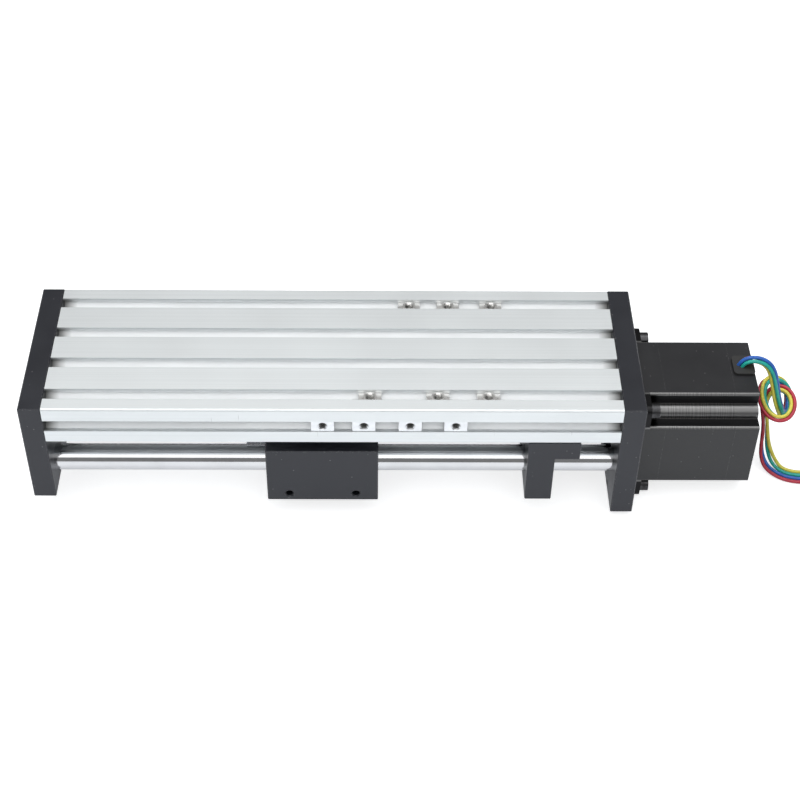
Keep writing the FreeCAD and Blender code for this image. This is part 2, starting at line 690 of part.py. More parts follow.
def motor_section(x0, x1):
    """The body's square section with notched corners, and a round column in each notch."""
    half = MOTOR_SQUARE / 2
    flat = MOTOR_FLAT / 2
    wide = box(x0, x1, -half, half, screw_z - flat, screw_z + flat)
    tall = box(x0, x1, -flat, flat, screw_z - half, screw_z + half)
    bars = [bar.makeFillet(MOTOR_NOTCH_ROUND, edges_along(bar, vec(1, 0, 0))) for bar in (wide, tall)]
    columns = [round_x(x0, x1, MOTOR_COLUMN, y, z) for y, z in tie_places]
    return bars[0].fuse(bars[1:] + columns).removeSplitter()


def motor_front_cap():
    half = MOTOR_SQUARE / 2
    flange = box(plate_out, flange_back, -half, half, screw_z - half, screw_z + half)
    flange = flange.makeFillet(MOTOR_FLANGE_CORNER, edges_along(flange, vec(1, 0, 0)))
    pilot = round_x(plate_out - MOTOR_PILOT_HEIGHT, plate_out, MOTOR_PILOT)
    cap = flange.fuse([pilot, motor_section(flange_back, front_cap_end)]).removeSplitter()
    seat = MOTOR_BEARING_DIAMETER
    cuts = [
        round_x(plate_out - MOTOR_PILOT_HEIGHT - OVERCUT, front_cap_end, seat - 2 * BEARING_SHOULDER),
        round_x(front_motor_bearing, front_cap_end + OVERCUT, seat + 2 * PRESS_GAP),
    ]
    for y, z in motor_bolts:
        cuts.append(round_x(plate_out - OVERCUT, flange_back + OVERCUT, M4["clear"], y, z))
    for y, z in tie_places:
        cuts.append(round_x(front_cap_end - TIE_SCREW_REACH, front_cap_end + OVERCUT, M3["core"], y, z))
    return cap.cut(cuts)


def motor_stator():
    cuts = [round_x(front_cap_end - OVERCUT, rear_cap_start + OVERCUT, ROTOR_DIAMETER + 2 * ROTOR_GAP)]
    for y, z in tie_places:
        cuts.append(round_x(front_cap_end - OVERCUT, rear_cap_start + OVERCUT, M3["clear"], y, z))
    return motor_section(front_cap_end, rear_cap_start).cut(cuts)


def motor_rear_cap():
    seat_end = rear_motor_bearing + MOTOR_BEARING_WIDTH
    cuts = [round_x(rear_cap_start - OVERCUT, seat_end, MOTOR_BEARING_DIAMETER + 2 * PRESS_GAP)]
    for y, z in tie_places:
        cuts.append(placed(sunk_hole(M3, MOTOR_REAR_CAP), (tie_seat, y, z), (-1, 0, 0)))
    cuts.append(grommet_stem(SLIDE_GAP))
    return motor_section(rear_cap_start, motor_end).cut(cuts)


def motor_rotor():
    left = front_cap_end + ROTOR_END_GAP
    right = rear_cap_start - ROTOR_END_GAP
    return tube_x(left, right, ROTOR_DIAMETER, MOTOR_SHAFT + 2 * PRESS_GAP)


def motor_shaft():
    end = rear_motor_bearing + MOTOR_BEARING_WIDTH
    shaft = round_x(plate_out - MOTOR_SHAFT_REACH, end, MOTOR_SHAFT)
    return broken_edges(shaft, round_edges(shaft))


def grommet_stem(gap):
    """The part of the lead grommet that plugs into the rear cap."""
    top = MOTOR_SQUARE
    left = motor_end - GROMMET_LENGTH + GROMMET_RIM - gap
    right = motor_end - GROMMET_RIM + gap
    half = GROMMET_WIDTH / 2 - GROMMET_RIM + gap
    return box(left, right, GROMMET_OFFSET - half, GROMMET_OFFSET + half, top - GROMMET_STEM - gap, top)


def lead_grommet():
    half = GROMMET_WIDTH / 2
    top = MOTOR_SQUARE + GROMMET_HEIGHT
    pad = box(motor_end - GROMMET_LENGTH, motor_end,
              GROMMET_OFFSET - half, GROMMET_OFFSET + half, MOTOR_SQUARE, top)
    pad = pad.makeFillet(GROMMET_CORNER, edges_along(pad, vec(0, 0, 1)))
    holes = []
    for name in LEAD_PLACES:
        start, way_out = lead_points(name)[:2]
        holes.append(Part.makeCylinder(LEAD_DIAMETER / 2, GROMMET_STEM, start, way_out - start))
    return pad.fuse(grommet_stem(0)).removeSplitter().cut(holes)


# Leads

def lead_points(name):
    """One wire's points, set out from the bundle's middle line."""
    (across_share, facing_share), row_share = LEAD_PLACES[name]
    middle = [vec(*point) for point, spread in LEAD_ROUTE]
    flat_from = [spread for point, spread in LEAD_ROUTE].index(1)
    facing = vec(*LEAD_START_FACING)
    points = []
    for i, (point, spread) in enumerate(LEAD_ROUTE):
        ahead = (middle[min(i + 1, len(middle) - 1)] - middle[max(i - 1, 0)]).normalize()
        facing = (facing - ahead * facing.dot(ahead)).normalize()
        turned = FreeCAD.Rotation(ahead, LEAD_TWIST * i / flat_from).multVec(facing)
        if i >= flat_from:
            turned = (vec(0, 0, -1) + ahead * ahead.z).normalize()
        across = ahead.cross(turned)
        bundle = (across * across_share + turned * facing_share) * (LEAD_SPACING / 2)
        row = across * (LEAD_RIBBON * row_share)
        blend = spread * math.pi / 2
        points.append(middle[i] + bundle * math.cos(blend) + row * math.sin(blend))
    return points


def lead_path(points):
    """Straight runs joined by tangent arcs, and the arcs' radii."""
    edges = []
    radii = []
    start = points[0]
    for before, corner, after in zip(points, points[1:], points[2:]):
        back = (before - corner).normalize()
        ahead = (after - corner).normalize()
        half_turn = (math.pi - back.getAngle(ahead)) / 2
        reach = ARC_SHARE * min(before.distanceToPoint(corner), after.distanceToPoint(corner))
        radius = reach / math.tan(half_turn)
        inward = (back + ahead).normalize()
        middle = corner + inward * (radius / math.cos(half_turn) - radius)
        arc_start = corner + back * reach
        arc_end = corner + ahead * reach
        edges.append(Part.LineSegment(start, arc_start).toShape())
        edges.append(Part.Arc(arc_start, middle, arc_end).toShape())
        radii.append(radius)
        start = arc_end
    edges.append(Part.LineSegment(start, points[-1]).toShape())
    return Part.Wire(edges), radii


def lead(name):
    points = lead_points(name)
    path, radii = lead_path(points)
    ring = Part.makeCircle(LEAD_DIAMETER / 2, points[0], points[1] - points[0])
    tube = path.makePipeShell([Part.Wire(ring)], True, False)
    share = tube.Volume / (math.pi * LEAD_DIAMETER ** 2 / 4 * path.Length)
    print(name, "length %.1f" % path.Length, "volume share %.4f" % share, "least radius %.2f" % min(radii))
    return tube


def lead_tip(name):
    points = lead_points(name)
    return Part.makeCylinder(LEAD_TIP_DIAMETER / 2, LEAD_TIP_LENGTH, points[-1], points[-1] - points[-2])


# Places of the bolt patterns, and the seats that more than one piece uses
motor_bolts = [(y * MOTOR_BOLT_SPACING / 2, screw_z + z * MOTOR_BOLT_SPACING / 2) for y, z in CORNERS]
tie_places = [(y * MOTOR_COLUMN_SPACING / 2, screw_z + z * MOTOR_COLUMN_SPACING / 2) for y, z in CORNERS]
nut_bolt_radius = NUT_FLANGE_DIAMETER / 2 - NUT_BOLT_EDGE
nut_bolt_y = nut_bolt_radius * math.cos(math.radians(NUT_BOLT_ANGLE))
nut_bolt_z = nut_bolt_radius * math.sin(math.radians(NUT_BOLT_ANGLE))
nut_bolts = [(y * nut_bolt_y, screw_z + z * nut_bolt_z) for y, z in CORNERS]
block_screw_seat = base_bottom - BLOCK_ARM + M5["height"]
nut_screw_seat = flange_left + M4["height"]
nut_screw_end = nut_screw_seat + NUT_SCREW_LENGTH
clamp_screw_z = screw_z + CLAMP_SCREW_OFFSET
tie_seat = motor_end - M3["height"]
tie_length = tie_seat - front_cap_end + TIE_SCREW_REACH - HEAD_GAP

os.makedirs("parts", exist_ok=True)

# The frame that stands still
save("base_extrusion", base_extrusion())
save("end_plate", end_plate())
save("motor_plate", motor_plate())
save("end_plate_screws", *plate_screws(end_out, 1))
save("motor_plate_screws", *plate_screws(plate_out, -1))
save("rod_screws", *rod_screws(end_out, 1), *rod_screws(plate_out, -1))
save("guide_rod_front", guide_rod(rod_places[0]))
save("guide_rod_rear", guide_rod(rod_places[1]))
save("support_block", support_block())
save("support_block_screws", *[
    placed(socket_screw(M5, BLOCK_SCREW_LENGTH), (block_screw_x, y, block_screw_seat), (0, 0, 1))
    for y in outer_slots])
save("support_block_nuts", *[support_block_nut(y) for y in outer_slots])
save("support_circlip", bore_clip(fixed_bearing_left - CIRCLIP_THICKNESS, BEARING_DIAMETER))

# Bearings: outer rings stay with the frame, inner rings turn with the screw
support_outer, support_inner = bearing(fixed_bearing_left, BEARING_BORE, BEARING_DIAMETER, BEARING_WIDTH)
end_outer, end_inner = bearing(end_bearing_left, BEARING_BORE, BEARING_DIAMETER, BEARING_WIDTH)
motor_bearings = [
    bearing(left, MOTOR_SHAFT, MOTOR_BEARING_DIAMETER, MOTOR_BEARING_WIDTH)
    for left in (front_motor_bearing, rear_motor_bearing)]
save("support_bearing_outer", support_outer)
save("support_bearing_inner", support_inner)
save("end_bearing_outer", end_outer)
save("end_bearing_inner", end_inner)
save("motor_bearing_outers", *[outer for outer, inner in motor_bearings])
save("motor_bearing_inners", *[inner for outer, inner in motor_bearings])

# Motor
save("motor_front_cap", motor_front_cap())
save("motor_stator", motor_stator())
save("motor_rear_cap", motor_rear_cap())
save("motor_rotor", motor_rotor())
save("motor_shaft", motor_shaft())
save("motor_screws", *[
    placed(socket_screw(M4, MOTOR_SCREW_LENGTH), (flange_back, y, z), (-1, 0, 0)) for y, z in motor_bolts])
save("motor_tie_screws", *[
    placed(socket_screw(M3, tie_length), (tie_seat, y, z), (-1, 0, 0)) for y, z in tie_places])
save("lead_grommet", lead_grommet())
for lead_name in LEAD_PLACES:
    save(lead_name, lead(lead_name))
save("lead_tips", *[lead_tip(lead_name) for lead_name in LEAD_PLACES])

# Carriage
save("carriage_block", carriage_block())
save("linear_bearing_front", linear_bearing(rod_places[0]))
save("linear_bearing_rear", linear_bearing(rod_places[1]))
save("linear_bearing_circlips", *[
    bore_clip(left, LINEAR_BEARING_DIAMETER, y, rod_z)
    for y in rod_places for left in (linear_left - CIRCLIP_THICKNESS, linear_right)])
save("ball_nut", ball_nut())
save("nut_wipers", nut_wiper(flange_left), nut_wiper(nut_right - WIPER_LENGTH))
save("nut_screws", *[
    placed(socket_screw(M4, NUT_SCREW_LENGTH), (nut_screw_seat, y, z), (1, 0, 0)) for y, z in nut_bolts])

# Screw
save("ball_screw", ball_screw())
save("screw_locknut", screw_locknut())
save("end_circlip", shaft_clip(end_clip_left, BEARING_BORE))
save("coupling", coupling())
save("coupling_screws", *[
    placed(socket_screw(M2_5, CLAMP_SCREW_LENGTH), (x, -CLAMP_SCREW_SEAT, clamp_screw_z), (0, 1, 0))
    for x in clamp_middles()])

# Slot nuts, each by itself because each one slides
for number, nut_x in enumerate(FRONT_SLOT_NUTS, 1):
    save("front_slot_nut_%d" % number, front_slot_nut(nut_x))
for number, nut_x in enumerate(UPPER_FRONT_NUTS, 1):
    save("upper_front_nut_%d" % number, upper_slot_nut(nut_x, outer_slots[0]))
for number, nut_x in enumerate(UPPER_REAR_NUTS, 1):
    save("upper_rear_nut_%d" % number, upper_slot_nut(nut_x, outer_slots[1]))
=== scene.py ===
import math

import bmesh
import bpy
from mathutils import Matrix, Vector


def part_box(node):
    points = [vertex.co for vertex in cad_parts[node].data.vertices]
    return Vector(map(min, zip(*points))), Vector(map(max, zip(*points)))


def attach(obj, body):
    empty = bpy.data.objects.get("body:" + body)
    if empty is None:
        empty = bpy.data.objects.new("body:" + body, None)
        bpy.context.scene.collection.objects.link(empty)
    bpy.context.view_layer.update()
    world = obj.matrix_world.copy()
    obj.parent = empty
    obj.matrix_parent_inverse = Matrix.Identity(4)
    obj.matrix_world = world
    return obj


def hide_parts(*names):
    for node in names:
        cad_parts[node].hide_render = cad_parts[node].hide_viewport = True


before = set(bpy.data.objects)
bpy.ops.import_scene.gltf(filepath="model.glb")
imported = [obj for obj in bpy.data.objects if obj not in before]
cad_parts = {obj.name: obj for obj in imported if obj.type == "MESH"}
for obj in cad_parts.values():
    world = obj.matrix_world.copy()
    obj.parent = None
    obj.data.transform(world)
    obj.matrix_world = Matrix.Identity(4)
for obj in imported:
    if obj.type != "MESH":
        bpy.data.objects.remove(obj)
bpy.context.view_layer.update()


# Base extrusion: a flat aluminium bar with four slots along each broad face and one along each side.
# It is pressed through a die, which leaves fine lines along its length, then clear anodised.
# Use has left a few short scratches. Inside the slots there are no scratches, and the silver is painted
# lighter, a painted highlight;
# towards the plates the slots are painted dark, a painted shadow of the plates.
SILVER = (0.81, 0.84, 0.848)
SILVER_LINE = (0.775, 0.805, 0.813)
RUBBED_SILVER = (0.6, 0.62, 0.62)
LIT_SLOT_SILVER = (0.925, 0.945, 0.955)
SLOT_END_SHADE = (0.16, 0.16, 0.15)
DIE_LINE_SCALE = (3, 1400, 1400)
NOISE_SPAN = (0.3, 0.7)
NOISE_UPPER = (0.35, 0.7)
SILVER_ROUGHNESS = (0.52, 0.6)
SLOT_FROM = 0.0006
SLOT_FULL = 0.0012
SLOT_SHADE_REACH = 0.006
SLOT_SHADE_SHARE = 0.8
SCRATCH_CELLS = 90.0
UNSCRATCHED_SHARE = 0.8
SCRATCH_HALF_WIDTH = (0.00004, 0.00012)
SCRATCH_HALF_LENGTH = (0.0005, 0.0022)


def new_finish(name):
    """Starts a material, and gives it with its node tree and its shader."""
    finish = bpy.data.materials.new(name)
    finish.use_nodes = True
    return finish, finish.node_tree, finish.node_tree.nodes["Principled BSDF"]


def new_effect(name, inputs, outputs):
    """Starts a node group that finishes share, and gives it with its way in and its way out."""
    group = bpy.data.node_groups.new(name, "ShaderNodeTree")
    for title, kind in inputs.items():
        group.interface.new_socket(title, in_out="INPUT", socket_type="NodeSocket" + kind)
    for title in outputs:
        group.interface.new_socket(title, in_out="OUTPUT", socket_type="NodeSocketFloat")
    return group, group.nodes.new("NodeGroupInput"), group.nodes.new("NodeGroupOutput")


def put(tree, kind, inputs=(), **settings):
    """Adds a shader node with its settings, and sets or links its inputs."""
    item = tree.nodes.new("ShaderNode" + kind)
    for name, value in settings.items():
        setattr(item, name, value)
    for name, value in dict(inputs).items():
        if isinstance(value, bpy.types.NodeSocket):
            tree.links.new(value, item.inputs[name])
        else:
            item.inputs[name].default_value = value
    return item


def worked(tree, operation, *values):
    """Works out one value from one or two others."""
    return put(tree, "Math", dict(enumerate(values)), operation=operation).outputs[0]


def ranged(tree, value, low, high, to_low=0.0, to_high=1.0):
    """Spreads a value from one range over another, held at both ends."""
    spread = put(tree, "MapRange", {"Value": value, "From Min": low, "From Max": high,
                                    "To Min": to_low, "To Max": to_high})
    return spread.outputs["Result"]


def tinted(tree, mask, plain, marked):
    """Goes from one colour to another as a mask rises. Each is a fixed colour or comes from a node."""
    ends = [(*colour, 1) if isinstance(colour, tuple) else colour for colour in (plain, marked)]
    return put(tree, "Mix", {0: mask, 6: ends[0], 7: ends[1]}, data_type="RGBA").outputs[2]


def dress(finish, *names):
    """Gives CAD nodes a finish in place of their plain one."""
    for name in names:
        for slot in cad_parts[name].material_slots:
            slot.material = finish


def fine_scratches():
    """A few short straight scratches, each turned its own way, where other metal has rubbed."""
    group, way_in, way_out = new_effect("fine_scratches", {"Vector": "Vector"}, ("Scratch",))
    here = way_in.outputs["Vector"]
    cells = put(group, "TexVoronoi", {"Vector": here, "Scale": SCRATCH_CELLS})
    chance = put(group, "SeparateColor", {"Color": cells.outputs["Color"]})
    chosen = worked(group, "GREATER_THAN", chance.outputs["Red"], UNSCRATCHED_SHARE)
    offset = put(group, "VectorMath", {0: here, 1: cells.outputs["Position"]}, operation="SUBTRACT")
    turn = worked(group, "MULTIPLY", chance.outputs["Green"], math.tau)
    turned = put(group, "VectorRotate", {"Vector": offset.outputs["Vector"], "Angle": turn},
                 rotation_type="Z_AXIS")
    local = put(group, "SeparateXYZ", {"Vector": turned.outputs["Vector"]})
    off_line = worked(group, "ABSOLUTE", local.outputs["X"])
    in_plane = put(group, "CombineXYZ", {"Y": local.outputs["Y"], "Z": local.outputs["Z"]})
    from_middle = put(group, "VectorMath", {0: in_plane.outputs["Vector"]}, operation="LENGTH")
    thin = ranged(group, off_line, *SCRATCH_HALF_WIDTH, 1.0, 0.0)
    short = ranged(group, from_middle.outputs["Value"], *SCRATCH_HALF_LENGTH, 1.0, 0.0)
    line = worked(group, "MULTIPLY", thin, short)
    group.links.new(worked(group, "MULTIPLY", line, chosen), way_out.inputs["Scratch"])
    return group


scratches = fine_scratches()
silver_anodised, tree, shader = new_finish("silver_anodised")
here = put(tree, "TexCoord").outputs["Object"]
along = put(tree, "Mapping", {"Vector": here, "Scale": DIE_LINE_SCALE}).outputs["Vector"]
die_lines = put(tree, "TexNoise", {"Vector": along, "Scale": 1.0, "Detail": 4.0}).outputs["Fac"]
cloud = put(tree, "TexNoise", {"Vector": here, "Scale": 22.0, "Detail": 3.0}).outputs["Fac"]
rubbed = put(tree, "Group", {"Vector": here}, node_tree=scratches).outputs["Scratch"]
drawn = tinted(tree, ranged(tree, die_lines, *NOISE_UPPER), SILVER, SILVER_LINE)
marked = tinted(tree, rubbed, drawn, RUBBED_SILVER)
bar_low, bar_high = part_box("base_extrusion")
place = put(tree, "SeparateXYZ", {"Vector": here})
to_side = worked(tree, "ABSOLUTE", place.outputs["Y"])
below_side = ranged(tree, to_side, bar_high.y - SLOT_FULL, bar_high.y - SLOT_FROM, 1.0, 0.0)
below_top = ranged(tree, place.outputs["Z"], bar_high.z - SLOT_FULL, bar_high.z - SLOT_FROM, 1.0, 0.0)
over_underside = ranged(tree, place.outputs["Z"], bar_low.z + SLOT_FROM, bar_low.z + SLOT_FULL)
sunk = worked(tree, "MULTIPLY", worked(tree, "MULTIPLY", below_side, below_top), over_underside)
# Painted highlight: inside the slots the silver is painted lighter, with no scratches.
clean_and_lit = tinted(tree, sunk, marked, LIT_SLOT_SILVER)
# Painted shadow: the slot ends next to the plates are painted dark, as the plates shade them.
at_start = ranged(tree, place.outputs["X"], bar_low.x, bar_low.x + SLOT_SHADE_REACH, SLOT_SHADE_SHARE, 0.0)
at_end = ranged(tree, place.outputs["X"], bar_high.x - SLOT_SHADE_REACH, bar_high.x, 0.0, SLOT_SHADE_SHARE)
slot_end_shade = worked(tree, "MULTIPLY", worked(tree, "ADD", at_start, at_end), sunk)
tree.links.new(tinted(tree, slot_end_shade, clean_and_lit, SLOT_END_SHADE), shader.inputs["Base Color"])
tree.links.new(ranged(tree, cloud, *NOISE_SPAN, *SILVER_ROUGHNESS), shader.inputs["Roughness"])
soft_edge = put(tree, "Bevel", {"Radius": 0.00012}, samples=6).outputs["Normal"]
ridge = put(tree, "Bump", {"Height": die_lines, "Normal": soft_edge, "Strength": 0.06, "Distance": 0.0002})
tree.links.new(ridge.outputs["Normal"], shader.inputs["Normal"])
shader.inputs["Metallic"].default_value = 1.0
dress(silver_anodised, "base_extrusion")


# End plates, support block and carriage: aluminium blocks milled square, with their edges broken,
# then bead blasted and black anodised. Screws hold the plates and the support block to the base.
# Handling leaves pale specks. The edges are painted lighter, partly wear and partly a painted highlight.
ANODISED_BLACK = (0.0105, 0.0115, 0.0155)
SMUDGED_BLACK = (0.0145, 0.016, 0.0205)
SPECK_ON_BLACK = (0.13, 0.13, 0.13)
WORN_AND_HIGHLIT_ANODISING = (0.17, 0.17, 0.172)
SPECKLESS_SHARE = 0.86
SPECK_EDGE = (0.05, 0.16)
SMUDGE_SPAN = (0.42, 0.72)
EDGE_LIKENESS = (0.99, 0.86)
EDGE_PATCHES = (0.46, 0.68)
LEAST_EDGE_SHARE = 0.1
ANODISED_ROUGHNESS = (0.36, 0.46)


def handled():
    """Specks of dust and faint smudges, the same on all the dark finishes."""
    group, way_in, way_out = new_effect(
        "handled", {"Vector": "Vector", "Speck Scale": "Float"}, ("Specks", "Smudge"))
    here = way_in.outputs["Vector"]
    cells = put(group, "TexVoronoi", {"Vector": here, "Scale": way_in.outputs["Speck Scale"]})
    few = put(group, "SeparateColor", {"Color": cells.outputs["Color"]}).outputs["Red"]
    chosen = worked(group, "GREATER_THAN", few, SPECKLESS_SHARE)
    small = ranged(group, cells.outputs["Distance"], *SPECK_EDGE, 1.0, 0.0)
    smear = put(group, "TexNoise", {"Vector": here, "Scale": 30.0, "Detail": 5.0})
    group.links.new(worked(group, "MULTIPLY", chosen, small), way_out.inputs["Specks"])
    group.links.new(ranged(group, smear.outputs["Fac"], *SMUDGE_SPAN), way_out.inputs["Smudge"])
    return group


def worn_and_highlit_edges():
    """How far an edge of a given radius is lightened here: partly wear, as paint and anodising wear thin on
    sharp edges, and partly a painted highlight.
    """
    group, way_in, way_out = new_effect("worn_and_highlit_edges", {"Vector": "Vector", "Radius": "Float"}, ("Edge",))
    rounded = put(group, "Bevel", {"Radius": way_in.outputs["Radius"]}, samples=4).outputs["Normal"]
    straight = put(group, "NewGeometry").outputs["Normal"]
    alike = put(group, "VectorMath", {0: rounded, 1: straight}, operation="DOT_PRODUCT").outputs["Value"]
    broken = put(group, "TexNoise", {"Vector": way_in.outputs["Vector"], "Scale": 900.0, "Detail": 3.0})
    patchy = ranged(group, broken.outputs["Fac"], *EDGE_PATCHES, LEAST_EDGE_SHARE, 1.0)
    lightened = worked(group, "MULTIPLY", ranged(group, alike, *EDGE_LIKENESS), patchy)
    group.links.new(lightened, way_out.inputs["Edge"])
    return group


dust = handled()
edge_wear_and_highlight = worn_and_highlit_edges()
black_anodised, tree, shader = new_finish("black_anodised")
here = put(tree, "TexCoord").outputs["Object"]
touched = put(tree, "Group", {"Vector": here, "Speck Scale": 420.0}, node_tree=dust)
worn_and_highlit = put(tree, "Group", {"Vector": here, "Radius": 0.0005}, node_tree=edge_wear_and_highlight).outputs["Edge"]
blast = put(tree, "TexNoise", {"Vector": here, "Scale": 5200.0, "Detail": 2.0}).outputs["Fac"]
shade = tinted(tree, touched.outputs["Smudge"], ANODISED_BLACK, SMUDGED_BLACK)
pale = tinted(tree, touched.outputs["Specks"], shade, SPECK_ON_BLACK)
# The edges are painted lighter: partly wear, partly a painted highlight.
tree.links.new(tinted(tree, worn_and_highlit, pale, WORN_AND_HIGHLIT_ANODISING), shader.inputs["Base Color"])
gloss = ranged(tree, touched.outputs["Smudge"], 0, 1, *ANODISED_ROUGHNESS)
tree.links.new(gloss, shader.inputs["Roughness"])
shader.inputs["Specular IOR Level"].default_value = 0.55
shader.inputs["Specular Tint"].default_value = (0.92, 0.93, 1, 1)
grain = put(tree, "Bump", {"Height": blast, "Strength": 0.15, "Distance": 0.00005})
tree.links.new(grain.outputs["Normal"], shader.inputs["Normal"])
dress(black_anodised, "end_plate", "motor_plate", "support_block", "carriage_block")


# Guide rods: hardened steel bars, chrome plated and ground, held in the plates by a screw at each end.
# Grinding leaves rings too fine to see one by one, which only soften the reflections a little.

def ground_rings():
    """Fine rings round the X axis, as grinding or turning leaves them."""
    group, way_in, way_out = new_effect(
        "ground_rings", {"Vector": "Vector", "Rings per Metre": "Float"}, ("Height",))
    station = put(group, "SeparateXYZ", {"Vector": way_in.outputs["Vector"]}).outputs["X"]
    count = worked(group, "MULTIPLY", station, way_in.outputs["Rings per Metre"])
    uneven = put(group, "TexNoise", {"W": count, "Scale": 1.0, "Detail": 2.0}, noise_dimensions="1D")
    group.links.new(uneven.outputs["Fac"], way_out.inputs["Height"])
    return group


rings = ground_rings()


def bright_metal(name, colour, dull, rough, per_metre, depth):
    """A bare or plated metal: two colours, a roughness range, and the count and depth of its ring marks."""
    finish, tree, shader = new_finish(name)
    here = put(tree, "TexCoord").outputs["Object"]
    marks = put(tree, "Group", {"Vector": here, "Rings per Metre": per_metre}, node_tree=rings)
    cloud = put(tree, "TexNoise", {"Vector": here, "Scale": 60.0, "Detail": 4.0}).outputs["Fac"]
    tree.links.new(tinted(tree, ranged(tree, cloud, *NOISE_UPPER), colour, dull), shader.inputs["Base Color"])
    tree.links.new(ranged(tree, marks.outputs["Height"], *NOISE_SPAN, *rough), shader.inputs["Roughness"])
    ridge = put(tree, "Bump", {"Height": marks.outputs["Height"], "Strength": depth, "Distance": 0.00005})
    tree.links.new(ridge.outputs["Normal"], shader.inputs["Normal"])
    shader.inputs["Metallic"].default_value = 1.0
    return finish


hard_chrome = bright_metal("hard_chrome", colour=(0.68, 0.685, 0.7), dull=(0.62, 0.625, 0.64),
                           rough=(0.07, 0.13), per_metre=2500.0, depth=0.04)
dress(hard_chrome, "guide_rod_front", "guide_rod_rear")


# Ball screw: a hardened steel rod with a right-hand round-bottomed track for the balls, ground all over.
# Its ends are turned down for the bearings and the coupling. The track is one profile, screwed along.
SCREW_LEAD = 0.004
SCREW_STEPS = 28
SCREW_RADIUS = 0.006
TRACK_DEPTH = 0.0009
TRACK_MIDDLE = 0.56
TRACK_HALF_WIDTH = 0.26
TRACK_SHARES = (0.0, 0.28, 0.31, 0.38, 0.47, 0.56, 0.65, 0.74, 0.81, 0.84, 1.0)
COLLAR_LENGTH = 0.0055
COLLAR_RADIUS = 0.00602
COLLAR_CHAMFER = 0.0004
JOURNAL_RADIUS = 0.005
JOURNAL_CHAMFER = 0.0003
RING_GROOVE_RADIUS = 0.0045
COUPLED_RADIUS = 0.004
LATHE_STEPS = 48
SMOOTH_BELOW = 0.6
OPEN_EDGE_ANGLE = 3.0
screw_low, screw_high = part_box("ball_screw")
axis_z = (screw_low.z + screw_high.z) / 2
screw_start = screw_low.x
screw_end = screw_high.x
thread_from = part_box("end_plate")[1].x
thread_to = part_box("support_bearing_inner")[0].x
locknut_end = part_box("screw_locknut")[1].x
clip_from, clip_to = (corner.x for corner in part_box("end_circlip"))


def add_lathe(mesh, outline):
    """Turns an outline of (station, radius) points round the screw's axis, from one pole to the other."""
    verts = [mesh.verts.new((x, 0, axis_z + radius)) for x, radius in outline]
    edges = [mesh.edges.new(pair) for pair in zip(verts, verts[1:])]
    bmesh.ops.spin(mesh, geom=verts + edges, cent=(0, 0, axis_z), axis=(1, 0, 0), angle=math.tau,
                   steps=LATHE_STEPS, use_merge=True)


def add_thread(mesh):
    """One pitch of the ball track's section, screwed along the rod, with its two ends closed."""
    turns = int((thread_to - thread_from) / SCREW_LEAD) - 1
    section = []
    for share in TRACK_SHARES:
        round_bottom = max(0.0, 1 - ((share - TRACK_MIDDLE) / TRACK_HALF_WIDTH) ** 2)
        radius = SCREW_RADIUS - TRACK_DEPTH * math.sqrt(round_bottom)
        section.append(mesh.verts.new((thread_from + share * SCREW_LEAD, 0, axis_z + radius)))
    edges = [mesh.edges.new(pair) for pair in zip(section, section[1:])]
    bmesh.ops.spin(mesh, geom=section + edges, cent=(0, 0, axis_z), axis=(1, 0, 0),
                   dvec=(SCREW_LEAD / SCREW_STEPS, 0, 0), angle=math.tau * turns,
                   steps=SCREW_STEPS * turns, use_merge=False)
    bmesh.ops.remove_doubles(mesh, verts=mesh.verts, dist=0.00002)
    open_edges = [edge for edge in mesh.edges if edge.is_boundary]
    bmesh.ops.holes_fill(mesh, edges=open_edges, sides=0)


def finished_piece(name, mesh, finish, body):
    """Makes an object of a mesh, with soft shading across its gentle edges only."""
    bmesh.ops.remove_doubles(mesh, verts=mesh.verts, dist=0.00001)
    bmesh.ops.recalc_face_normals(mesh, faces=mesh.faces)
    for face in mesh.faces:
        face.smooth = True
    for edge in mesh.edges:
        edge.smooth = edge.calc_face_angle(OPEN_EDGE_ANGLE) < SMOOTH_BELOW
    data = bpy.data.meshes.new(name)
    mesh.to_mesh(data)
    mesh.free()
    data.materials.append(finish)
    piece = bpy.data.objects.new(name, data)
    bpy.context.collection.objects.link(piece)
    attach(piece, body)
    return piece


ground_steel = bright_metal("ground_steel", colour=(0.66, 0.67, 0.69), dull=(0.58, 0.58, 0.6),
                            rough=(0.16, 0.28), per_metre=3000.0, depth=0.08)
screw_mesh = bmesh.new()
add_thread(screw_mesh)
add_lathe(screw_mesh, (
    (screw_start, 0),
    (screw_start, JOURNAL_RADIUS - JOURNAL_CHAMFER),
    (screw_start + JOURNAL_CHAMFER, JOURNAL_RADIUS),
    (clip_from, JOURNAL_RADIUS),
    (clip_from, RING_GROOVE_RADIUS),
    (clip_to, RING_GROOVE_RADIUS),
    (clip_to, JOURNAL_RADIUS),
    (thread_from, JOURNAL_RADIUS),
    (thread_from, SCREW_RADIUS - COLLAR_CHAMFER),
    (thread_from + COLLAR_CHAMFER, COLLAR_RADIUS),
    (thread_from + COLLAR_LENGTH, COLLAR_RADIUS),
    (thread_from + COLLAR_LENGTH, 0)))
add_lathe(screw_mesh, (
    (thread_to - COLLAR_LENGTH, 0),
    (thread_to - COLLAR_LENGTH, COLLAR_RADIUS),
    (thread_to - COLLAR_CHAMFER, COLLAR_RADIUS),
    (thread_to, SCREW_RADIUS - COLLAR_CHAMFER),
    (thread_to, JOURNAL_RADIUS),
    (locknut_end - JOURNAL_CHAMFER, JOURNAL_RADIUS),
    (locknut_end, JOURNAL_RADIUS - JOURNAL_CHAMFER),
    (locknut_end, COUPLED_RADIUS),
    (screw_end - COLLAR_CHAMFER, COUPLED_RADIUS),
    (screw_end, COUPLED_RADIUS - COLLAR_CHAMFER),
    (screw_end, 0)))
ball_screw = finished_piece("ball_screw_ground", screw_mesh, ground_steel, "screw")
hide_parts("ball_screw")


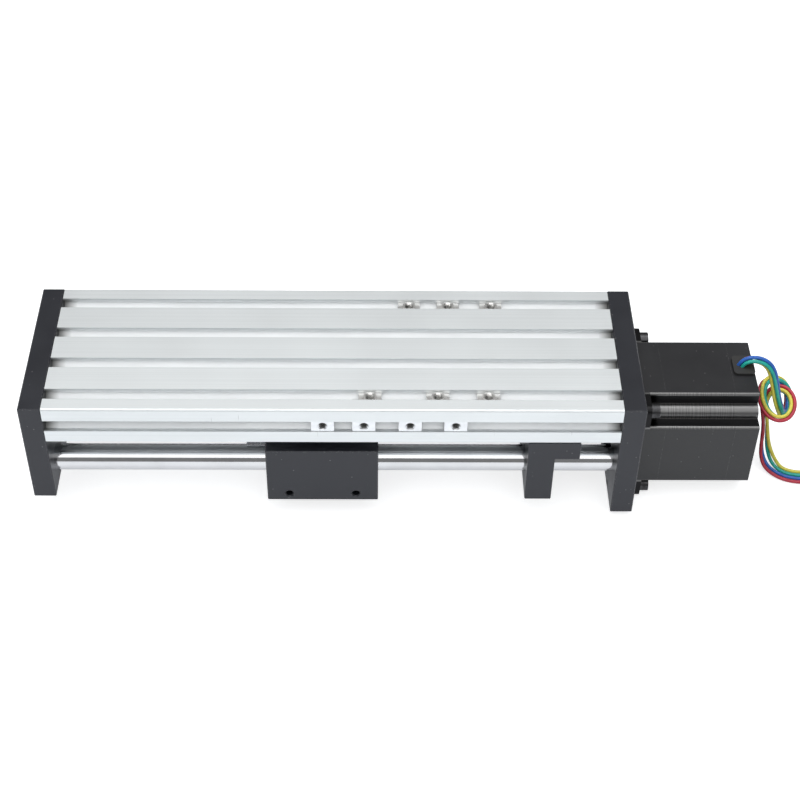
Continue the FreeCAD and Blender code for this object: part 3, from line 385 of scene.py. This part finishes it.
# Bearings, ball nut and motor shaft: hardened steel, ground on every working face. The bearings are
# pressed in, and rings of black spring steel, sprung into grooves, keep those of the screw and the rods.
# The ball nut is screwed to the carriage by its flange.
dress(ground_steel, "support_bearing_outer", "support_bearing_inner", "end_bearing_outer",
      "end_bearing_inner", "motor_bearing_outers", "motor_bearing_inners", "linear_bearing_front",
      "linear_bearing_rear", "ball_nut", "motor_shaft")
spring_steel = bright_metal("spring_steel", colour=(0.12, 0.12, 0.13), dull=(0.09, 0.09, 0.1),
                            rough=(0.3, 0.42), per_metre=900.0, depth=0.05)
dress(spring_steel, "support_circlip", "end_circlip", "linear_bearing_circlips")


# Coupling: turned from aluminium bar, with the lathe's rings left on it, and slit so that it can bend.
# A split clamp at each end grips the screw and the motor's shaft.
silver_turned = bright_metal("silver_turned", colour=(0.75, 0.76, 0.77), dull=(0.68, 0.69, 0.7),
                             rough=(0.2, 0.38), per_metre=4200.0, depth=0.2)
dress(silver_turned, "coupling")


# Stepper motor: cast end caps and a stack of steel laminations, drawn together by four long screws.
# Its flats are sprayed black, with edges painted lighter, partly wear and partly a painted highlight.
# The notched corners keep bare oxidised metal, and there the edges of the laminations show as fine lines.
# The walls inside the notches are metal painted near black: painted shade.
PAINT = (0.0115, 0.0118, 0.0138)
SMUDGED_PAINT = (0.016, 0.0164, 0.0188)
SPECK_ON_PAINT = (0.14, 0.14, 0.14)
WORN_AND_HIGHLIT_PAINT = (0.1, 0.1, 0.1)
DARK_OXIDE = (0.1, 0.1, 0.102)
PALE_OXIDE = (0.22, 0.219, 0.216)
NOTCH_WALL_SHADE = (0.02, 0.02, 0.021)
PAINT_ROUGHNESS = (0.34, 0.44)
SHEET_SPAN = (0.35, 0.65)
MOTOR_HALF = 0.0282
NOTCH_WALL = 0.0175
COLUMN_REACH = 0.0225
COLUMN_FADE = 0.0002
WALL_FADE = 0.0001
EDGE_FROM = 0.0011
EDGE_FULL = 0.0007
FACE_FROM = 0.0013
FACE_FULL = 0.0009
SIDE_LIMIT = 0.5


def motor_finish(name, sheet_depth):
    """Black paint on the flats and oxidised metal in the notches, with or without lamination lines, and
    painted shade on the notch walls.
    """
    finish, tree, shader = new_finish(name)
    here = put(tree, "TexCoord").outputs["Object"]
    touched = put(tree, "Group", {"Vector": here, "Speck Scale": 520.0}, node_tree=dust)
    worn_and_highlit = put(tree, "Group", {"Vector": here, "Radius": 0.0003}, node_tree=edge_wear_and_highlight).outputs["Edge"]
    place = put(tree, "SeparateXYZ", {"Vector": here})
    across = worked(tree, "ABSOLUTE", place.outputs["Y"])
    above = worked(tree, "ABSOLUTE", worked(tree, "SUBTRACT", place.outputs["Z"], axis_z))
    farther = worked(tree, "MAXIMUM", across, above)
    nearer = worked(tree, "MINIMUM", across, above)
    on_column = ranged(tree, farther, COLUMN_REACH, COLUMN_REACH + COLUMN_FADE, 1.0, 0.0)
    past_flat = ranged(tree, nearer, NOTCH_WALL - EDGE_FROM, NOTCH_WALL - EDGE_FULL)
    up_to_wall = ranged(tree, nearer, NOTCH_WALL + WALL_FADE, NOTCH_WALL + 2 * WALL_FADE, 1.0, 0.0)
    near_face = ranged(tree, farther, MOTOR_HALF - FACE_FROM, MOTOR_HALF - FACE_FULL)
    on_edge = worked(tree, "MULTIPLY", worked(tree, "MULTIPLY", past_flat, up_to_wall), near_face)
    facing = put(tree, "SeparateXYZ", {"Vector": put(tree, "NewGeometry").outputs["Normal"]})
    on_side = worked(tree, "LESS_THAN", worked(tree, "ABSOLUTE", facing.outputs["X"]), SIDE_LIMIT)
    in_notch = worked(tree, "MULTIPLY", worked(tree, "MAXIMUM", on_column, on_edge), on_side)
    rest = put(tree, "Math", {0: past_flat, 1: in_notch}, operation="SUBTRACT", use_clamp=True).outputs[0]
    shaded_wall = worked(tree, "MULTIPLY", rest, on_side)
    sheet_edges = put(tree, "Group", {"Vector": here, "Rings per Metre": 2600.0}, node_tree=rings)
    sheets = sheet_edges.outputs["Height"]
    shade = tinted(tree, touched.outputs["Smudge"], PAINT, SMUDGED_PAINT)
    pale = tinted(tree, touched.outputs["Specks"], shade, SPECK_ON_PAINT)
    # The edges are painted lighter: partly wear, partly a painted highlight.
    painted = tinted(tree, worn_and_highlit, pale, WORN_AND_HIGHLIT_PAINT)
    lines = ranged(tree, sheets, *SHEET_SPAN, 0.5 - sheet_depth, 0.5 + sheet_depth)
    oxide = tinted(tree, lines, DARK_OXIDE, PALE_OXIDE)
    # Painted shade: the walls inside the notches are painted near black.
    paint_and_wall_shade = tinted(tree, shaded_wall, painted, NOTCH_WALL_SHADE)
    tree.links.new(tinted(tree, in_notch, paint_and_wall_shade, oxide), shader.inputs["Base Color"])
    tree.links.new(worked(tree, "MAXIMUM", in_notch, shaded_wall), shader.inputs["Metallic"])
    gloss = ranged(tree, touched.outputs["Smudge"], 0, 1, *PAINT_ROUGHNESS)
    tree.links.new(gloss, shader.inputs["Roughness"])
    peel = put(tree, "TexNoise", {"Vector": here, "Scale": 1500.0, "Detail": 3.0}).outputs["Fac"]
    ridged = worked(tree, "MULTIPLY", sheets, sheet_depth)
    uneven = put(tree, "Mix", {0: in_notch, 2: peel, 3: ridged}).outputs[0]
    skin = put(tree, "Bump", {"Height": uneven, "Strength": 0.2, "Distance": 0.0001})
    tree.links.new(skin.outputs["Normal"], shader.inputs["Normal"])
    return finish


motor_paint = motor_finish("motor_paint", sheet_depth=0.0)
motor_stack = motor_finish("motor_stack", sheet_depth=0.5)
dress(motor_paint, "motor_front_cap", "motor_rear_cap")
dress(motor_stack, "motor_stator")
rotor_steel = bright_metal("rotor_steel", colour=(0.35, 0.35, 0.36), dull=(0.28, 0.28, 0.29),
                           rough=(0.3, 0.45), per_metre=2000.0, depth=0.3)
dress(rotor_steel, "motor_rotor")


# Screws and the screw's lock nut: steel, blackened in an oxide bath. The screws have socket heads.
# Keys and spanners have rubbed their edges bright, and the lighter edges are partly a painted highlight.
OXIDE_BLACK = (0.07, 0.07, 0.073)
DEEP_OXIDE_BLACK = (0.042, 0.042, 0.044)
WORN_AND_HIGHLIT_STEEL = (0.3, 0.3, 0.3)
OXIDE_ROUGHNESS = (0.28, 0.42)
black_steel, tree, shader = new_finish("black_steel")
here = put(tree, "TexCoord").outputs["Object"]
worn_and_highlit = put(tree, "Group", {"Vector": here, "Radius": 0.0004}, node_tree=edge_wear_and_highlight).outputs["Edge"]
cloud = put(tree, "TexNoise", {"Vector": here, "Scale": 500.0, "Detail": 4.0}).outputs["Fac"]
shade = tinted(tree, ranged(tree, cloud, *NOISE_UPPER), OXIDE_BLACK, DEEP_OXIDE_BLACK)
# The edges are painted lighter: partly wear, partly a painted highlight.
tree.links.new(tinted(tree, worn_and_highlit, shade, WORN_AND_HIGHLIT_STEEL), shader.inputs["Base Color"])
tree.links.new(ranged(tree, cloud, *NOISE_SPAN, *OXIDE_ROUGHNESS), shader.inputs["Roughness"])
shader.inputs["Metallic"].default_value = 1.0
dress(black_steel, "end_plate_screws", "motor_plate_screws", "rod_screws", "support_block_screws",
      "motor_screws", "motor_tie_screws", "nut_screws", "coupling_screws", "screw_locknut")


# Slot nuts: pressed steel, zinc plated in the front slot and nickel plated in the upper ones.
# Each hole is tapped right through with a right-hand M4 thread. Each nut's hollows, its hole and thread, are
# darkened with painted shade.
THREAD_PITCH = 0.0007
THREAD_CORE = 0.00155
THREAD_ROOT = 0.002
THREAD_STEPS = 20
THREAD_SECTION = (
    (0.0, THREAD_CORE),
    (0.0714, THREAD_CORE),
    (0.4732, THREAD_ROOT),
    (0.5982, THREAD_ROOT),
    (1.0, THREAD_CORE),
)
SPARE_TURNS = 4
HOLLOW_SHADE = (0.15, 0.145, 0.13)
HOLLOW_SHADE_REACH = 0.005
OPEN_SPAN = (0.15, 0.6)


def plated_metal(name, colour, dull, rough):
    """A plated metal, a little uneven in colour and gloss, with painted shade darkening its hollows, such as
    its hole and threads.
    """
    finish, tree, shader = new_finish(name)
    here = put(tree, "TexCoord").outputs["Object"]
    cloud = put(tree, "TexNoise", {"Vector": here, "Scale": 300.0, "Detail": 4.0}).outputs["Fac"]
    plated = tinted(tree, ranged(tree, cloud, *NOISE_UPPER), colour, dull)
    hollow = put(tree, "AmbientOcclusion", {"Distance": HOLLOW_SHADE_REACH}, samples=8, only_local=True)
    open_air = ranged(tree, hollow.outputs["AO"], *OPEN_SPAN)
    # Painted shade: where the nut's own shape closes round a point, as in the hole, the colour goes dark.
    tree.links.new(tinted(tree, open_air, HOLLOW_SHADE, plated), shader.inputs["Base Color"])
    tree.links.new(ranged(tree, cloud, *NOISE_SPAN, *rough), shader.inputs["Roughness"])
    pressed = put(tree, "Bump", {"Height": cloud, "Strength": 0.1, "Distance": 0.0001})
    tree.links.new(pressed.outputs["Normal"], shader.inputs["Normal"])
    shader.inputs["Metallic"].default_value = 1.0
    return finish


def thread_form(length):
    """What a tap cuts away: one pitch of the thread's section, screwed up the Z axis, with closed ends."""
    mesh = bmesh.new()
    turns = int(length / THREAD_PITCH) + SPARE_TURNS
    section = [mesh.verts.new((radius, 0, share * THREAD_PITCH)) for share, radius in THREAD_SECTION]
    edges = [mesh.edges.new(pair) for pair in zip(section, section[1:])]
    bmesh.ops.spin(mesh, geom=section + edges, cent=(0, 0, 0), axis=(0, 0, 1),
                   dvec=(0, 0, THREAD_PITCH / THREAD_STEPS), angle=math.tau * turns,
                   steps=THREAD_STEPS * turns, use_merge=False)
    bmesh.ops.remove_doubles(mesh, verts=mesh.verts, dist=0.000005)
    bmesh.ops.holes_fill(mesh, edges=[edge for edge in mesh.edges if edge.is_boundary], sides=0)
    bmesh.ops.recalc_face_normals(mesh, faces=mesh.faces)
    bmesh.ops.translate(mesh, verts=mesh.verts, vec=(0, 0, -(turns + 1) * THREAD_PITCH / 2))
    return mesh


def loose_object(name, mesh):
    """Makes a plain object of a mesh, for a cut or for the floor."""
    data = bpy.data.meshes.new(name)
    mesh.to_mesh(data)
    mesh.free()
    thing = bpy.data.objects.new(name, data)
    bpy.context.collection.objects.link(thing)
    return thing


def tapped_nut(node, axis, finish):
    """A copy of a plain nut, with the thread taken away from its hole, which runs along Y (1) or Z (2)."""
    low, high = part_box(node)
    form = thread_form(high[axis] - low[axis])
    turn = Matrix.Rotation(math.radians(-90), 4, "X") if axis == 1 else Matrix.Identity(4)
    bmesh.ops.transform(form, matrix=Matrix.Translation((low + high) / 2) @ turn, verts=form.verts)
    blank = bmesh.new()
    blank.from_mesh(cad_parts[node].data)
    bmesh.ops.remove_doubles(blank, verts=blank.verts, dist=0.000001)
    cutter = loose_object(node + "_tap", form)
    plain = loose_object(node + "_blank", blank)
    cut = plain.modifiers.new("tapped", "BOOLEAN")
    cut.operation = "DIFFERENCE"
    cut.solver = "EXACT"
    cut.object = cutter
    result = bpy.data.meshes.new_from_object(plain.evaluated_get(bpy.context.evaluated_depsgraph_get()))
    tapped = bmesh.new()
    tapped.from_mesh(result)
    for scrap in (cutter, plain):
        bpy.data.objects.remove(scrap)
    nut = finished_piece(node + "_tapped", tapped, finish, node)
    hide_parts(node)


zinc_steel = plated_metal("zinc_steel", colour=(0.82, 0.84, 0.86), dull=(0.74, 0.76, 0.78),
                          rough=(0.25, 0.38))
nickel_steel = plated_metal("nickel_steel", colour=(0.88, 0.872, 0.85), dull=(0.79, 0.782, 0.76),
                            rough=(0.24, 0.36))
dress(zinc_steel, "support_block_nuts")
for number in (1, 2, 3, 4):
    tapped_nut("front_slot_nut_%d" % number, axis=1, finish=zinc_steel)
for number in (1, 2, 3):
    tapped_nut("upper_front_nut_%d" % number, axis=2, finish=nickel_steel)
    tapped_nut("upper_rear_nut_%d" % number, axis=2, finish=nickel_steel)


# Lead grommet and nut wipers: moulded in black rubber, and matt. The grommet plugs into the motor's
# rear cap, and the wipers sit in both ends of the ball nut, where they keep dirt out.
RUBBER = (0.018, 0.018, 0.018)
SMUDGED_RUBBER = (0.028, 0.028, 0.028)
rubber, tree, shader = new_finish("rubber")
here = put(tree, "TexCoord").outputs["Object"]
touched = put(tree, "Group", {"Vector": here, "Speck Scale": 700.0}, node_tree=dust)
tree.links.new(tinted(tree, touched.outputs["Smudge"], RUBBER, SMUDGED_RUBBER), shader.inputs["Base Color"])
shader.inputs["Roughness"].default_value = 0.6
dress(rubber, "lead_grommet", "nut_wipers")


# Motor leads: four wires with thin soft insulation, pushed through the grommet as one twisted bundle.
# They hang in two loose turns, spread into a row and lie on the surface, and end in tinned strands.
# Each entry of the route is a point on the bundle's middle line, and how far it has spread into a row.
LEAD_DIAMETER = 0.0017
LEAD_SPACING = 0.00184
LEAD_RIBBON = 0.0022
LEAD_TWIST = math.radians(-270)
LEAD_START_FACING = (-0.63, -0.78, 0)
LEAD_ROUTE = (
    ((0.1570, 0.0006, 0.0562), 0.0),
    ((0.1578, 0.0006, 0.0588), 0.0),
    ((0.1602, 0.0004, 0.0608), 0.0),
    ((0.1634, 0.0000, 0.0614), 0.0),
    ((0.1668, -0.0006, 0.0606), 0.0),
    ((0.1697, -0.0014, 0.0584), 0.0),
    ((0.1717, -0.0024, 0.0548), 0.0),
    ((0.1730, -0.0034, 0.0504), 0.0),
    ((0.1742, -0.0042, 0.0456), 0.0),
    ((0.1756, -0.0048, 0.0406), 0.0),
    ((0.1776, -0.0050, 0.0352), 0.0),
    ((0.1796, -0.0036, 0.0304), 0.0),
    ((0.1822, -0.0006, 0.0280), 0.0),
    ((0.1840, 0.0030, 0.0280), 0.0),
    ((0.1848, 0.0066, 0.0300), 0.0),
    ((0.1842, 0.0094, 0.0332), 0.0),
    ((0.1820, 0.0106, 0.0364), 0.0),
    ((0.1785, 0.0102, 0.0392), 0.0),
    ((0.1744, 0.0088, 0.0408), 0.0),
    ((0.1712, 0.0058, 0.0408), 0.0),
    ((0.1697, 0.0016, 0.0392), 0.0),
    ((0.1696, -0.0026, 0.0376), 0.0),
    ((0.1706, -0.0066, 0.0362), 0.0),
    ((0.1727, -0.0096, 0.0350), 0.0),
    ((0.1759, -0.0110, 0.0342), 0.0),
    ((0.1795, -0.0104, 0.0342), 0.0),
    ((0.1823, -0.0078, 0.0352), 0.0),
    ((0.1837, -0.0040, 0.0368), 0.0),
    ((0.1832, -0.0002, 0.0386), 0.0),
    ((0.1811, 0.0028, 0.0396), 0.0),
    ((0.1781, 0.0046, 0.0394), 0.0),
    ((0.1751, 0.0048, 0.0374), 0.0),
    ((0.1731, 0.0040, 0.0342), 0.0),
    ((0.1724, 0.0026, 0.0302), 0.0),
    ((0.1734, 0.0010, 0.0254), 0.0),
    ((0.1742, -0.0004, 0.0204), 0.0),
    ((0.1746, -0.0020, 0.0154), 0.05),
    ((0.1749, -0.0037, 0.0104), 0.2),
    ((0.1758, -0.0060, 0.0058), 0.45),
    ((0.1776, -0.0092, 0.0026), 0.75),
    ((0.1808, -0.0126, 0.0012), 1.0),
    ((0.1852, -0.0152, 0.0009), 1.0),
    ((0.1912, -0.0164, 0.0009), 1.0),
    ((0.1994, -0.0160, 0.0009), 1.0),
    ((0.2120, -0.0134, 0.0009), 1.0),
    ((0.2270, -0.0090, 0.0009), 1.0),
    ((0.2420, -0.0054, 0.0009), 1.0),
    ((0.2570, -0.0044, 0.0009), 1.0),
    ((0.2700, -0.0054, 0.0009), 1.0),
)

# Each wire's place in the square bundle, its place in the flat row, its length and its colour
LEADS = {
    "yellow": ((1, -1), 1.5, 0.2646, (0.83, 0.74, 0.1)),
    "green": ((1, 1), 0.5, 0.2607, (0.015, 0.45, 0.36)),
    "blue": ((-1, 1), -0.5, 0.2717, (0.03, 0.15, 0.58)),
    "red": ((-1, -1), -1.5, 0.2798, (0.52, 0.03, 0.06)),
}
DEEP_SHARE = 0.8
INSULATION_ROUGHNESS = (0.32, 0.42)


def lead_points(places, row_place):
    """One wire's control points, set out from the bundle's middle line."""
    middle = [Vector(point) for point, spread in LEAD_ROUTE]
    flat_from = [spread for point, spread in LEAD_ROUTE].index(1)
    facing = Vector(LEAD_START_FACING)
    points = []
    for i, (point, spread) in enumerate(LEAD_ROUTE):
        ahead = (middle[min(i + 1, len(middle) - 1)] - middle[max(i - 1, 0)]).normalized()
        facing = (facing - ahead * facing.dot(ahead)).normalized()
        turned = Matrix.Rotation(LEAD_TWIST * i / flat_from, 3, ahead) @ facing
        if i >= flat_from:
            turned = (Vector((0, 0, -1)) + ahead * ahead.z).normalized()
        across = ahead.cross(turned)
        bundle = (across * places[0] + turned * places[1]) * (LEAD_SPACING / 2)
        row = across * (LEAD_RIBBON * row_place)
        blend = spread * math.pi / 2
        points.append(middle[i] + bundle * math.cos(blend) + row * math.sin(blend))
    return points


def insulation(name, colour):
    """Soft PVC: a little gloss, and a faint unevenness in its colour."""
    finish, tree, shader = new_finish(name)
    here = put(tree, "TexCoord").outputs["Object"]
    cloud = put(tree, "TexNoise", {"Vector": here, "Scale": 400.0, "Detail": 3.0}).outputs["Fac"]
    deep = tuple(DEEP_SHARE * share for share in colour)
    tree.links.new(tinted(tree, ranged(tree, cloud, *NOISE_SPAN), colour, deep), shader.inputs["Base Color"])
    tree.links.new(ranged(tree, cloud, *NOISE_SPAN, *INSULATION_ROUGHNESS), shader.inputs["Roughness"])
    return finish


tinned_copper = bright_metal("tinned_copper", colour=(0.72, 0.71, 0.69), dull=(0.6, 0.59, 0.57),
                             rough=(0.3, 0.45), per_metre=5000.0, depth=0.4)
dress(tinned_copper, "lead_tips")
for colour_name, (places, row_place, length, colour) in LEADS.items():
    line = bpy.data.curves.new("wire_" + colour_name, "CURVE")
    line.dimensions = "3D"
    spline = line.splines.new("NURBS")
    points = lead_points(places, row_place)
    spline.points.add(len(points) - 1)
    for control, point in zip(spline.points, points):
        control.co = (*point, 1)
    spline.order_u = 3
    spline.use_endpoint_u = True
    spline.resolution_u = 8
    line.bevel_depth = LEAD_DIAMETER / 2
    line.bevel_resolution = 5
    line.use_fill_caps = True
    wire = bpy.data.objects.new("wire_" + colour_name, line)
    bpy.context.collection.objects.link(wire)
    line.materials.append(insulation(colour_name + "_insulation", colour))
    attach(wire, "frame")
    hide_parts("lead_" + colour_name)


# Where it is shown: on a plain white surface, in soft light from above and from high in front.
# The surface glows to the camera and in the metal's reflections, so that it looks white with no more
# light on the table. From below the camera sees through it.
FLOOR_HALF = 4.0
FLOOR_DROP = 0.0003
FLOOR_COLOUR = (0.69, 0.705, 0.72, 1)
GLOW_COLOUR = (1, 1, 1)
MIRRORED_GLOW_COLOUR = (0.97, 0.985, 1.02)
GLOW_DISTANCE = (0.5, 1.6)
GLOW_STRENGTH = (0.72, 1.0)
FIRST_MIRROR_DEPTH = 1.5
FIRST_MIRROR_GLOW = 0.45
STRIP_FRONT = (-0.11, -0.06)
STRIP_BACK = (-0.04, -0.015)
floor_mesh = bmesh.new()
bmesh.ops.create_grid(floor_mesh, x_segments=1, y_segments=1, size=FLOOR_HALF)
bmesh.ops.translate(floor_mesh, verts=floor_mesh.verts, vec=(0, 0, -FLOOR_DROP))
floor = loose_object("floor", floor_mesh)
white_floor, tree, shader = new_finish("white_floor")
shader.inputs["Base Color"].default_value = FLOOR_COLOUR
shader.inputs["Roughness"].default_value = 0.9
rays = put(tree, "LightPath")
seen = rays.outputs["Is Camera Ray"]
reflected = rays.outputs["Is Glossy Ray"]
tree.links.new(tinted(tree, reflected, GLOW_COLOUR, MIRRORED_GLOW_COLOUR), shader.inputs["Emission Color"])
here = put(tree, "TexCoord").outputs["Object"]
from_table = put(tree, "VectorMath", {0: here}, operation="LENGTH").outputs["Value"]
lit = worked(tree, "MULTIPLY", seen, ranged(tree, from_table, *GLOW_DISTANCE, *GLOW_STRENGTH))
# Painted light: in second reflections, as under the base, only a strip of floor just in front of the table
# glows. It is a painted pool of light, with painted shade under the table behind it.
first = worked(tree, "LESS_THAN", rays.outputs["Glossy Depth"], FIRST_MIRROR_DEPTH)
floor_y = put(tree, "SeparateXYZ", {"Vector": here}).outputs["Y"]
near_front = ranged(tree, floor_y, *STRIP_FRONT)
short_of_it = ranged(tree, floor_y, *STRIP_BACK, 1.0, 0.0)
painted_glow_strip = worked(tree, "MULTIPLY", near_front, short_of_it)
in_metal = put(tree, "Mix", {0: first, 2: painted_glow_strip, 3: FIRST_MIRROR_GLOW}).outputs[0]
mirrored = worked(tree, "MULTIPLY", reflected, in_metal)
tree.links.new(worked(tree, "ADD", lit, mirrored), shader.inputs["Emission Strength"])
below = put(tree, "NewGeometry").outputs["Backfacing"]
see_through = worked(tree, "MULTIPLY", below, seen)
one_sided = put(tree, "MixShader", {0: see_through, 1: shader.outputs["BSDF"],
                                    2: put(tree, "BsdfTransparent").outputs["BSDF"]})
tree.links.new(one_sided.outputs["Shader"], tree.nodes["Material Output"].inputs["Surface"])
floor.data.materials.append(white_floor)

# The room: a dim even light all round, a little brighter at the back, which the camera sees as white
ROOM_SPAN = (-0.5, 0.6)
ROOM_LIGHT = (0.25, 0.28)
world = bpy.data.worlds.new("studio")
bpy.context.scene.world = world
world.use_nodes = True
tree = world.node_tree
back = tree.nodes["Background"]
back.inputs["Color"].default_value = (1, 1, 1, 1)
rays = put(tree, "LightPath")
seen = worked(tree, "MAXIMUM", rays.outputs["Is Camera Ray"], rays.outputs["Is Transmission Ray"])
way = put(tree, "SeparateXYZ", {"Vector": put(tree, "TexCoord").outputs["Generated"]}).outputs["Y"]
room = ranged(tree, way, *ROOM_SPAN, *ROOM_LIGHT)
tree.links.new(put(tree, "Mix", {0: seen, 2: room, 3: 1.0}).outputs[0], back.inputs["Strength"])

LIGHT_TARGET = Vector((0, 0, 0.03))


def soft_light(name, place, size, watts):
    """A large rectangular lamp that faces the table."""
    lamp = bpy.data.lights.new(name, "AREA")
    lamp.shape = "RECTANGLE"
    lamp.size, lamp.size_y = size
    lamp.energy = watts
    holder = bpy.data.objects.new(name, lamp)
    holder.location = place
    holder.rotation_euler = (LIGHT_TARGET - Vector(place)).to_track_quat("-Z", "Y").to_euler()
    bpy.context.collection.objects.link(holder)


soft_light("overhead_light", place=(0, 0.2, 1.35), size=(1.5, 0.9), watts=12)
soft_light("front_light", place=(-0.1, -0.85, 1.35), size=(2.4, 1.3), watts=14)

# The camera: the photograph's place, angles and focal length
CAMERA_PLACE = (-0.00847, -0.54879, 0.57109)
CAMERA_AZIMUTH = math.radians(-1.150)
CAMERA_ELEVATION = math.radians(44.320)
CAMERA_ROLL = math.radians(0.964)
SENSOR_WIDTH = 36.0
FOCAL_PIXELS = 1661.0
IMAGE_PIXELS = 800.0
scene = bpy.context.scene
scene.view_settings.view_transform = "Standard"
lens = bpy.data.cameras.new("camera")
lens.sensor_width = SENSOR_WIDTH
lens.lens = SENSOR_WIDTH * FOCAL_PIXELS / IMAGE_PIXELS
lens.clip_start = 0.01
camera = bpy.data.objects.new("camera", lens)
ahead = Vector((-math.sin(CAMERA_AZIMUTH) * math.cos(CAMERA_ELEVATION),
                math.cos(CAMERA_AZIMUTH) * math.cos(CAMERA_ELEVATION), -math.sin(CAMERA_ELEVATION)))
right = Vector((math.cos(CAMERA_AZIMUTH), math.sin(CAMERA_AZIMUTH), 0))
upward = right.cross(ahead)
level = Matrix((right, upward, -ahead)).transposed()
rolled = (level @ Matrix.Rotation(CAMERA_ROLL, 3, "Z")).to_4x4()
camera.matrix_world = Matrix.Translation(CAMERA_PLACE) @ rolled
bpy.context.collection.objects.link(camera)
scene.camera = camera
